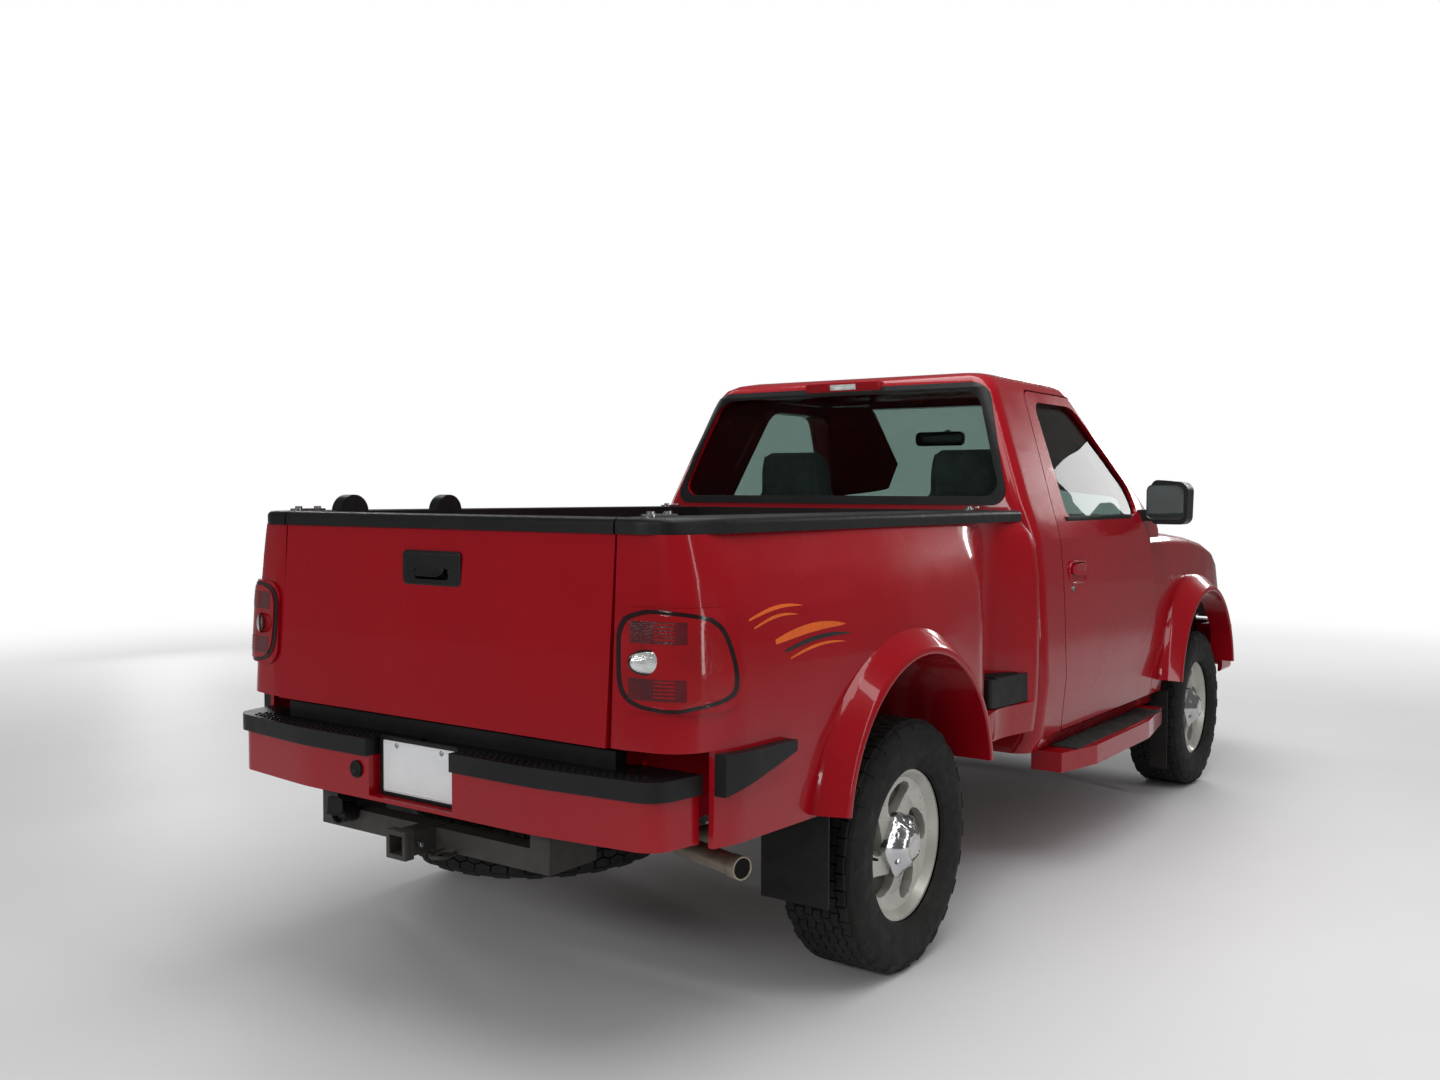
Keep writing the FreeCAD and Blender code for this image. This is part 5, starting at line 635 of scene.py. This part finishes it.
# Tailgate fittings
# A black lift handle behind a rounded rim, and a keyed lock beside it in the same pocket.
def open_up(piece, width):
    """Leaves only a rim of a flat piece that faces along the truck."""
    pick(piece, lambda c, n: abs(n.y) > 0.9)
    inset((width, 0))
    bpy.ops.mesh.bridge_edge_loops()


handle_low, handle_high = 1.188, 1.236
rim_height = 1.2145
gate_y, gate_z, gate_lean = 2.4781, 0.82, 0.0727
lift_x, lift_y = 0.018, 2.44
lift = start("cube", size=1, scale=(0.128, 0.022, handle_high - handle_low),
             location=(lift_x, lift_y + 0.0005, (handle_low + handle_high) / 2 + 0.006))
pick(lift, lambda c, n: True)
bpy.ops.mesh.subdivide(number_cuts=4)
pick(lift, lambda p: p.z < handle_low + 0.012 and p.y > lift_y, "VERT")
bpy.ops.transform.translate(value=(0, 0.007, -0.003))
pick(lift, lambda p: abs(p.x - lift_x) > 0.05, "VERT")
bpy.ops.transform.resize(value=(1, 1, 0.82), center_override=(lift_x, lift_y, handle_high))
close(lift, "tailgate_handle", grained_plastic, "tailgate", "black_plastic", ease=0.004,
      rounds=3)
rim = start("cube", size=1, scale=(0.232, 0.008, 0.096),
            location=(0, gate_y - (rim_height - gate_z) * gate_lean + 0.001, rim_height))
round_corners(rim, 0.016, 5)
open_up(rim, 0.012)
close(rim, "tailgate_handle_rim", grained_plastic, "tailgate", "black_plastic", ease=0.0025)
key_lock = start("cylinder", vertices=28, radius=0.0125, depth=0.026, rotation=lying_y,
                 location=(-0.078, 2.4400, 1.206))
pick(key_lock, lambda c, n: n.y > 0.9)
inset((0.003, -0.001), (0.006, 0.0012), (0.002, -0.003))
close(key_lock, "tailgate_lock", lock_metal, "tailgate", "bright_trim", ease=0.0007)


# Number plate
# A blank white pressed-steel plate in a black frame, held by two screws over the step's notch.
plate_white = make_finish("plate_white", (0.66, 0.67, 0.68), (0.74, 0.75, 0.76), (0.28, 0.42),
                          cloud=9.0, grain=500.0, depth=0.0001)
plate_y, plate_z = 2.4990, 0.662
plate = start("cube", size=1, location=(0, plate_y, plate_z), scale=(0.302, 0.0016, 0.152))
round_corners(plate, 0.014, 5)
pick(plate, lambda c, n: n.y > 0.9)
inset((0.006, 0.0), (0.0022, 0.0012), (0.003, 0.0), (0.0022, -0.0012))
close(plate, "blank_plate", plate_white, "chassis", "bright_trim", angle=20)
plate_frame = start("cube", size=1, location=(0, plate_y + 0.0006, plate_z),
                    scale=(0.318, 0.0066, 0.170))
round_corners(plate_frame, 0.018, 5)
open_up(plate_frame, 0.013)
close(plate_frame, "plate_frame", grained_plastic, "chassis", "black_plastic", ease=0.0015)
for screw_x in (-0.09, 0.09):
    screw_place = (screw_x, plate_y + 0.001, plate_z + 0.060)
    screw = start("uv_sphere", segments=20, ring_count=8, radius=0.0075, location=screw_place)
    pick(screw, lambda p: True, "VERT")
    bpy.ops.transform.resize(value=(1, 0.5, 1), center_override=screw_place)
    pick(screw, lambda c, n: n.y > 0.93)
    inset((0.001, -0.0016))
    close(screw, "plate_screw_" + ("right" if screw_x < 0 else "left"), lock_metal, "chassis",
          "bright_trim")


# Bumper step
# Rows of small raised studs moulded into the top of the step pads for grip, and a rubber plug
# in the bumper's face beside the plate.
pad_top = skin_of("rear_bumper_pads").ray_cast(Vector((0.5, 2.50, 1.0)), Vector((0, 0, -1)))[0].z
pad_edge, pad_bend = 2.546, 0.0153
stud_inner, stud_outer = 0.185, 0.76
stud_pitch, row_pitch = 0.0234, 0.0175
stud = start("cylinder", vertices=8, radius=0.0052, depth=0.0030, end_fill_type="NGON")
pick(stud, lambda c, n: n.z > 0.9)
inset((0.0016, 0.0008))
bpy.ops.object.mode_set(mode="OBJECT")
stud_points, stud_faces = [], []
for row in range(3):
    for place in range(66):
        stud_x = -stud_outer + stud_pitch * (place + 0.5 * (row % 2))
        if stud_inner <= abs(stud_x) <= stud_outer:
            edge_y = pad_edge - pad_bend * max(0.0, (abs(stud_x) - 0.42) / 0.2) ** 1.2
            shift = Vector((stud_x, edge_y - 0.022 - row_pitch * row, pad_top + 0.0010))
            base = len(stud_points)
            stud_points += [point.co + shift for point in stud.data.vertices]
            stud_faces += [[base + index for index in face.vertices]
                           for face in stud.data.polygons]
stud.data.clear_geometry()
stud.data.from_pydata(stud_points, [], stud_faces)
close(stud, "step_studs", grained_plastic, "chassis", "black_plastic", angle=30)
plug = start("cylinder", vertices=32, radius=0.024, depth=0.010, rotation=lying_y,
             location=(0.2165, 2.5365, 0.648))
pick(plug, lambda c, n: n.y > 0.9)
inset((0.005, 0.002), (0.006, -0.006), (0.004, -0.002))
close(plug, "bumper_plug", flap_rubber, "chassis", "flap_rubber", ease=0.001)


# Tail lamps
# Each lamp is a red acrylic lens in a dark rim, wrapped round the corner of its painted housing.
# On the lens lie two ribbed dark reflectors and a clear oval reversing lamp.
def press_on(piece, node, inward, lift):
    """Lays the piece's points on the skin of a CAD node, along one direction."""
    for point in piece.data.vertices:
        found = skin_of(node).ray_cast(point.co - inward, inward)
        if found[0] is None:
            found = skin_of(node).find_nearest(point.co)
        point.co = found[0] - inward * lift


lamp_red = make_finish("lamp_red", (0.23, 0.0012, 0.004), (0.31, 0.002, 0.006), (0.05, 0.10),
                       cloud=7.0, grain=150.0, depth=0.0004, coat=0.5, shine=0.4)
lamp_dark = make_finish("lamp_dark", (0.050, 0.0015, 0.004), (0.11, 0.003, 0.007), (0.05, 0.12),
                        cloud=14.0, grain=420.0, depth=0.0008, cells=True, coat=0.5, shine=0.4)
lamp_rim = make_finish("lamp_rim", (0.010, 0.0015, 0.0025), (0.020, 0.003, 0.004), (0.12, 0.22),
                       cloud=5.0, grain=300.0, depth=0.0001, coat=0.4)
lamp_clear = make_finish("lamp_clear", (0.50, 0.52, 0.50), (0.78, 0.80, 0.78), (0.05, 0.12),
                         metal=0.55, cloud=26.0, grain=260.0, depth=0.0012, cells=True, coat=0.6)
dress(body_paint, "tail_lamps")
dress(lamp_clear, "headlamps")
lamp_out = Vector((-0.597, 0.802, 0.0))
lamp_across = Vector((-0.802, -0.597, 0.0))
lamp_points = [point.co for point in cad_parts["tail_lamps"].data.vertices
               if point.co.x < 0 and point.co.y > 1.0]
lamp_start = min(point.dot(lamp_across) for point in lamp_points)
lamp_span = max(point.dot(lamp_across) for point in lamp_points) - lamp_start
lamp_foot = min(point.z for point in lamp_points)
lamp_rise = max(point.z for point in lamp_points) - lamp_foot
lamp_outline = (
    # share of the height, the left and the right edge as shares of the width
    (0.0, 0.36, 0.52), (0.02, 0.22, 0.62), (0.05, 0.135, 0.79), (0.09, 0.085, 0.915),
    (0.14, 0.045, 0.975), (0.20, 0.022, 0.996), (0.30, 0.004, 1.0), (0.45, 0.0, 0.983),
    (0.60, 0.0, 0.949), (0.74, 0.0, 0.907), (0.84, 0.02, 0.856), (0.92, 0.06, 0.771),
    (0.955, 0.115, 0.66), (0.98, 0.18, 0.53), (1.0, 0.25, 0.36),
)


def lamp_sheet(name, finish, grow, lift, depth, area=None, cuts=(40, 32)):
    """A sheet on the lamp: its whole outline, drawn in by a share, or a rectangle of it."""
    sheet = start("grid", x_subdivisions=cuts[0], y_subdivisions=cuts[1], size=1)
    for point in sheet.data.vertices:
        along, up = point.co.x + 0.5, point.co.y + 0.5
        if area:
            along = area[0] + (area[1] - area[0]) * along
            up = area[2] + (area[3] - area[2]) * up
        else:
            up = (1 - cos(pi * up)) / 2
            for low, high in zip(lamp_outline, lamp_outline[1:]):
                if low[0] <= up <= high[0]:
                    share = (up - low[0]) / (high[0] - low[0])
                    left = low[1] + (high[1] - low[1]) * share
                    right = low[2] + (high[2] - low[2]) * share
            along = left + (right - left) * along
        along = 0.5 + (along - 0.5) * grow
        up = 0.5 + (up - 0.5) * grow
        point.co = (lamp_across * (lamp_start + along * lamp_span) + lamp_out * 3.0
                    + Vector((0, 0, lamp_foot + up * lamp_rise)))
    press_on(sheet, "tail_lamps", -lamp_out, lift)
    shape_by(sheet, "SOLIDIFY", thickness=depth, offset=-1.0)
    close(sheet, name, finish, "chassis", "lamp_red", angle=50)
    copy_piece(sheet, name.replace("right", "left"), "chassis", flip=True)


lamp_sheet("right_lamp_rim", lamp_rim, 0.975, 0.003, 0.008)
lamp_sheet("right_lamp_lens", lamp_red, 0.895, 0.006, 0.008)
lamp_sheet("right_lamp_upper_reflector", lamp_dark, 1, 0.0068, 0.003, (0.12, 0.575, 0.665, 0.875))
lamp_sheet("right_lamp_lower_reflector", lamp_dark, 1, 0.0068, 0.003, (0.11, 0.57, 0.125, 0.33))
for flute in range(5):
    for reflector, flute_foot in (("upper", 0.700), ("lower", 0.155)):
        flute_up = flute_foot + 0.036 * flute
        lamp_sheet(f"right_lamp_{reflector}_flute_{flute}", lamp_red, 1, 0.0078, 0.002,
                   (0.31, 0.48, flute_up, flute_up + 0.016), (10, 2))
oval_centre = (lamp_across * (lamp_start + 0.275 * lamp_span) + lamp_out * 3.0
               + Vector((0, 0, lamp_foot + 0.488 * lamp_rise)))
oval_seat = skin_of("tail_lamps").ray_cast(oval_centre, -lamp_out)[0]
oval_lift = 0.006
for oval_name, oval_finish, oval_size in (
    ("right_reversing_rim", lamp_rim, (0.0505, 0.006, 0.0310)),
    ("right_reversing_lens", lamp_clear, (0.0465, 0.011, 0.0270)),
):
    oval = start("uv_sphere", segments=48, ring_count=24, radius=1, rotation=lying_y)
    for point in oval.data.vertices:
        wide = abs(point.co.x) ** 0.8
        point.co.x = wide if point.co.x > 0 else -wide
        point.co = (oval_seat + lamp_across * point.co.x * oval_size[0]
                    + lamp_out * (point.co.y * oval_size[1] + oval_lift)
                    + Vector((0, 0, point.co.z * oval_size[2])))
    face_out(oval)
    close(oval, oval_name, oval_finish, "chassis", "lamp_clear", angle=50)
    copy_piece(oval, oval_name.replace("right", "left"), "chassis", flip=True)


# High stop lamp
# A slim red lens over the rear window in three parts, the middle one clear and dimpled.
stop_z, stop_tall = 1.8595, 0.024
for stop_name, stop_from, stop_to, stop_finish in (
    ("stop_lamp_right", -0.172, -0.062, lamp_red), ("stop_lamp_middle", -0.060, 0.060, lamp_clear),
    ("stop_lamp_left", 0.062, 0.172, lamp_red),
):
    stop = start("grid", x_subdivisions=24, y_subdivisions=6, size=1)
    for point in stop.data.vertices:
        point.co = Vector((-stop_from + (stop_from - stop_to) * (point.co.x + 0.5), 0.6,
                           stop_z + stop_tall * point.co.y))
    press_on(stop, "tail_lamps", Vector((0, -1, 0)), 0.0012)
    shape_by(stop, "SOLIDIFY", thickness=0.006, offset=-1.0)
    close(stop, stop_name, stop_finish, "chassis", "lamp_red", ease=0.001)


# Side stripes
# Generic orange slashes, cut from thin gloss film, on both bed sides over the rear arch.
stripe_orange = make_finish("stripe_orange", (0.62, 0.095, 0.012), (0.74, 0.13, 0.018),
                            (0.22, 0.34), cloud=8.0, grain=500.0, depth=0.00005, coat=0.3)
stripe_black = make_finish("stripe_black", (0.016, 0.015, 0.015), (0.026, 0.025, 0.025),
                           (0.25, 0.36), cloud=8.0, grain=500.0, depth=0.00005, coat=0.3)
for stripe, (stripe_rear, stripe_front, stripe_z, stripe_tall, stripe_finish) in enumerate((
    (2.225, 1.955, 1.108, 0.010, stripe_orange), (2.205, 1.985, 1.086, 0.008, stripe_orange),
    (2.120, 1.750, 1.045, 0.024, stripe_orange), (2.080, 1.730, 1.018, 0.012, stripe_black),
    (2.060, 1.765, 0.998, 0.008, stripe_orange),
)):
    for side, side_name in ((1, "left"), (-1, "right")):
        film = start("grid", x_subdivisions=40, y_subdivisions=2, size=1)
        for point in film.data.vertices:
            along = point.co.x + 0.5
            taper = sin(pi * min(1.0, 0.12 + along)) ** 0.6
            point.co = Vector((side * 1.2, stripe_rear + (stripe_front - stripe_rear) * along,
                               stripe_z + 0.018 * along + 0.016 * sin(pi * along)
                               + stripe_tall * taper * point.co.y))
        press_on(film, side_name + "_bed_side", Vector((-side, 0, 0)), 0.0008)
        face_out(film)
        close(film, f"{side_name}_stripe_{stripe}", stripe_finish, "chassis", "lamp_red")


# Step treads
# Ribbed black rubber let into the running boards and the steps ahead of the rear wheels.
for side, side_name in ((1, "left"), (-1, "right")):
    for tread_name, tread_place, tread_size, tread_cuts in (
        ("board_tread", (0.917, -0.420, 0.4530), (0.110, 1.06, 0.004), 10),
        ("bed_step_tread", (0.842, 0.575, 0.7775), (0.080, 0.19, 0.004), 7),
    ):
        tread = start("cube", size=1, scale=tread_size,
                      location=(side * tread_place[0], tread_place[1], tread_place[2]))
        pick(tread, lambda a, b: abs(a.x - b.x) > 0.01, "EDGE")
        bpy.ops.mesh.subdivide(number_cuts=tread_cuts * 2)
        tread_low = min(point.co.x for point in tread.data.vertices)
        tread_step = tread_size[0] / (tread_cuts * 2 + 1)
        pick(tread, lambda c, n: n.z > 0.9 and int((c.x - tread_low) / tread_step) % 2)
        extrude(0, 0, 0.0035)
        close(tread, side_name + "_" + tread_name, flap_rubber, "chassis", "black_plastic",
              ease=0.0008, rounds=1)


# Tow hitch fittings
# On the receiver: a forged collar, two chain loops of bent bar and a hitch pin. Beside it is a
# wiring socket with a hinged flap.
receiver_z = 0.478
collar = start("cube", size=1, location=(0, 2.572, receiver_z), scale=(0.078, 0.016, 0.078))
round_corners(collar, 0.010, 4)
open_up(collar, 0.0135)
close(collar, "receiver_collar", frame_paint, "chassis", "frame_paint", ease=0.0015)
for side, side_name in ((1, "left"), (-1, "right")):
    loop = start("torus", major_segments=36, minor_segments=12, major_radius=0.026,
                 minor_radius=0.0062, location=(side * 0.086, 2.500, 0.446))
    pick(loop, lambda p: p.y < 2.500, "VERT")
    bpy.ops.transform.translate(value=(0, -0.020, 0.004))
    close(loop, side_name + "_chain_loop", frame_paint, "chassis", "frame_paint", angle=60)
pin = start("cylinder", vertices=24, radius=0.0078, depth=0.105, rotation=lying_x,
            location=(0, 2.535, receiver_z))
pick(pin, lambda c, n: n.x > 0.9)
inset((0.001, 0))
extrude(0.004, 0, 0)
bpy.ops.transform.resize(value=(1, 1.5, 1.5))
extrude(0.005, 0, 0)
close(pin, "hitch_pin", lock_metal, "chassis", "bright_trim", ease=0.001)
socket = start("cylinder", vertices=32, radius=0.031, depth=0.052, rotation=lying_y,
               location=(0.315, 2.500, 0.505))
pick(socket, lambda c, n: n.y > 0.9)
inset((0.005, 0), (0.002, -0.018), (0.006, 0), (0.002, 0.010))
close(socket, "wiring_socket", grained_plastic, "chassis", "black_plastic", ease=0.0012)
hood_flap = start("cube", size=1, location=(0.315, 2.532, 0.530), scale=(0.066, 0.008, 0.050))
round_corners(hood_flap, 0.014, 4)
pick(hood_flap, lambda c, n: n.z < -0.9)
bpy.ops.transform.translate(value=(0, 0.012, 0))
close(hood_flap, "wiring_socket_flap", grained_plastic, "chassis", "black_plastic", ease=0.0015)


# Dashboard
# A dark grey moulded dashboard with an instrument hood and three round vents, all in grained
# plastic.
dash_plastic = make_finish("dash_plastic", (0.045, 0.045, 0.048), (0.062, 0.062, 0.066),
                           (0.50, 0.62), cloud=4.0, grain=700.0, depth=0.0006, cells=True)
dress(dash_plastic, "dashboard")
dash_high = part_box("dashboard")[1]
binnacle_x, binnacle_z = 0.36, dash_high.z - 0.062
binnacle = start("cylinder", vertices=40, radius=0.19, depth=0.16, rotation=lying_y,
                 location=(binnacle_x, dash_high.y - 0.085, binnacle_z))
for binnacle_part, binnacle_share in ((lambda p: p.z < binnacle_z, 0.12), (lambda p: True, 0.42)):
    pick(binnacle, binnacle_part, "VERT")
    bpy.ops.transform.resize(value=(1, 1, binnacle_share),
                             center_override=(binnacle_x, 0, binnacle_z))
pick(binnacle, lambda c, n: n.y > 0.9)
inset((0.012, 0), (0.004, -0.055))
close(binnacle, "instrument_hood", dash_plastic, "chassis", "dash_plastic", ease=0.004)
for vent_name, vent_x in (("left", 0.66), ("middle", 0.04), ("right", -0.62)):
    vent = start("cylinder", vertices=36, radius=0.042, depth=0.020, rotation=lying_y,
                 location=(vent_x, dash_high.y - 0.004, 1.165))
    pick(vent, lambda c, n: n.y > 0.9)
    inset((0.006, 0.0), (0.002, -0.010), (0.008, 0.0), (0.002, 0.006), (0.007, 0.0),
          (0.002, -0.006))
    close(vent, vent_name + "_vent", grained_plastic, "chassis", "dash_plastic", ease=0.001)


# Seats
# Two high-backed seats in grey woven cloth, whose rounded tops serve as headrests. The left one
# is the CAD form drawn in, filled out by simulated padding and sewn in panels, the right a copy.
seat_cloth = make_finish("seat_cloth", (0.130, 0.135, 0.135), (0.190, 0.195, 0.195),
                         (0.80, 0.95), cloud=20.0, grain=800.0, depth=0.0012, sheen=0.3)
seat = bpy.data.objects.new("left_seat_cover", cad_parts["seats"].data.copy())
bpy.context.scene.collection.objects.link(seat)
pick(seat, lambda p: p.x < 0, "VERT")
bpy.ops.mesh.delete(type="VERT")
bpy.ops.object.mode_set(mode="OBJECT")
shape_by(seat, "REMESH", mode="VOXEL", voxel_size=0.016)
seat_inner, seat_outer = 0.20, 0.65
seat_drawn_in = 0.965
shoulder_z = 1.30
seat_low, seat_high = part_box("seats")
seat_middle = Vector(((seat_inner + seat_outer) / 2, (seat_low.y + seat_high.y) / 2, 1.1))
for point in seat.data.vertices:
    point.co = seat_middle + (point.co - seat_middle) * seat_drawn_in
    rise = max(0.0, (point.co.z - shoulder_z) / (seat_high.z - shoulder_z))
    drawn = 1 - 0.22 * min(1.0, rise * 2.5) ** 2 - 0.28 * rise ** 5
    point.co.x = seat_middle.x + (point.co.x - seat_middle.x) * drawn
seat_rest = [point.co.copy() for point in seat.data.vertices]
padding = seat.modifiers.new("padding", "CLOTH")
padding.settings.use_pressure = True
padding.settings.uniform_pressure_force = 4.0
padding.settings.effector_weights.gravity = 0.0
for padding_frame in range(1, 21):
    bpy.context.scene.frame_set(padding_frame)
bpy.ops.object.modifier_apply(modifier="padding")
bpy.context.scene.frame_set(1)
seat_swell = 0.012
for point, rest in zip(seat.data.vertices, seat_rest):
    moved = point.co - rest
    if moved.length > seat_swell:
        point.co = rest + moved * (seat_swell / moved.length)
shape_by(seat, "SUBSURF", levels=1)
bolster_x, head_seam_z, back_seam_z = 0.128, 1.34, 1.05
seam_reach, seam_depth = 0.012, 0.006
for point in seat.data.vertices:
    across = abs(point.co.x - seat_middle.x)
    seams = [abs(across - bolster_x),
             abs(point.co.z - head_seam_z) * (1 if across < 0.20 else 9),
             abs(point.co.z - back_seam_z) * (1 if across < bolster_x else 9)]
    sunk = max(0.0, 1 - min(seams) / seam_reach)
    point.co -= point.normal * seam_depth * sunk * sunk
close(seat, "left_seat_cover", seat_cloth, "chassis", "seat_cloth", angle=70)
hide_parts("seats")
right_seat = copy_piece(seat, "right_seat_cover", "chassis", flip=True)
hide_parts("seats")


# Inside mirror
# A dark plastic shell with a smoky pane on a short stalk bonded to the top of the windscreen.
inside_mirror = start("cube", size=1, scale=(0.245, 0.024, 0.066))
round_corners(inside_mirror, 0.024, 6)
pick(inside_mirror, lambda c, n: n.y > 0.9)
inset((0.005, 0.0), (0.002, -0.003))
bpy.ops.object.mode_set(mode="OBJECT")
mirror_seat = skin_of("cab_glass").ray_cast(Vector((0, 0, 1.715)), Vector((0, -1, 0)))[0]
inside_mirror.data.transform(Matrix.Translation(mirror_seat + Vector((0, 0.085, -0.035))))
close(inside_mirror, "inside_mirror", grained_plastic, "chassis", "black_plastic", ease=0.003)
mirror_glass = start("cube", size=1, scale=(0.228, 0.0016, 0.050),
                     location=mirror_seat + Vector((0, 0.0955, -0.035)))
round_corners(mirror_glass, 0.018, 6)
pick(mirror_glass, lambda c, n: n.y > 0.9)
inset((0.004, 0.0006))
close(mirror_glass, "inside_mirror_glass", mirror_pane, "chassis", "bright_trim", angle=20)
stalk = start("cylinder", vertices=20, radius=0.009, depth=0.085, rotation=(pi / 2 - 0.35, 0, 0),
              location=mirror_seat + Vector((0, 0.040, -0.014)))
pick(stalk, lambda p: p.y < mirror_seat.y + 0.02, "VERT")
bpy.ops.transform.resize(value=(1.9, 1, 1.5), center_override=mirror_seat)
close(stalk, "inside_mirror_stalk", grained_plastic, "chassis", "black_plastic", ease=0.001)


# Exhaust tip
# The open end of the tail pipe: a rolled steel lip round a near-black disc over the bore. Its dark
# is partly real soot and partly painted shade of the hollow pipe.
# Near-black soot plus painted shade: the pipe is solid, so this colour stands in for the shade
# that would fill its open bore.
bore_soot_and_shade = make_finish("bore_soot_and_shade", (0.004, 0.004, 0.004), (0.012, 0.011, 0.010), (0.7, 0.9), cloud=20.0,
                   grain=300.0, depth=0.0006, shine=0.1)
tip_end = Vector((-0.8667, 2.2062, 0.4780))
tip_turn = -0.284
tip_out = Vector((-cos(tip_turn), -sin(tip_turn), 0))
for tip_name, tip_finish, tip_radius, tip_deep, tip_lift in (
    ("exhaust_lip", exhaust_metal, 0.0305, 0.040, -0.0175),
    # A thin near-black disc set in the lip's shallow recess, painted shade standing in for the
    # open bore.
    ("exhaust_bore", bore_soot_and_shade, 0.0262, 0.0008, 0.0006),
):
    tip = start("cylinder", vertices=40, radius=tip_radius, depth=tip_deep,
                rotation=lying_x)
    pick(tip, lambda c, n: n.x < -0.9)
    inset((0.0040, 0))
    if tip_name == "exhaust_lip":
        inset((0.0004, -0.0020))
    bpy.ops.object.mode_set(mode="OBJECT")
    tip.data.transform(Matrix.Translation(tip_end + tip_out * tip_lift)
                       @ Matrix.Rotation(tip_turn, 4, "Z"))
    close(tip, tip_name, tip_finish, "chassis", "steel",
          ease=0.0008 if tip_name == "exhaust_lip" else 0.0)
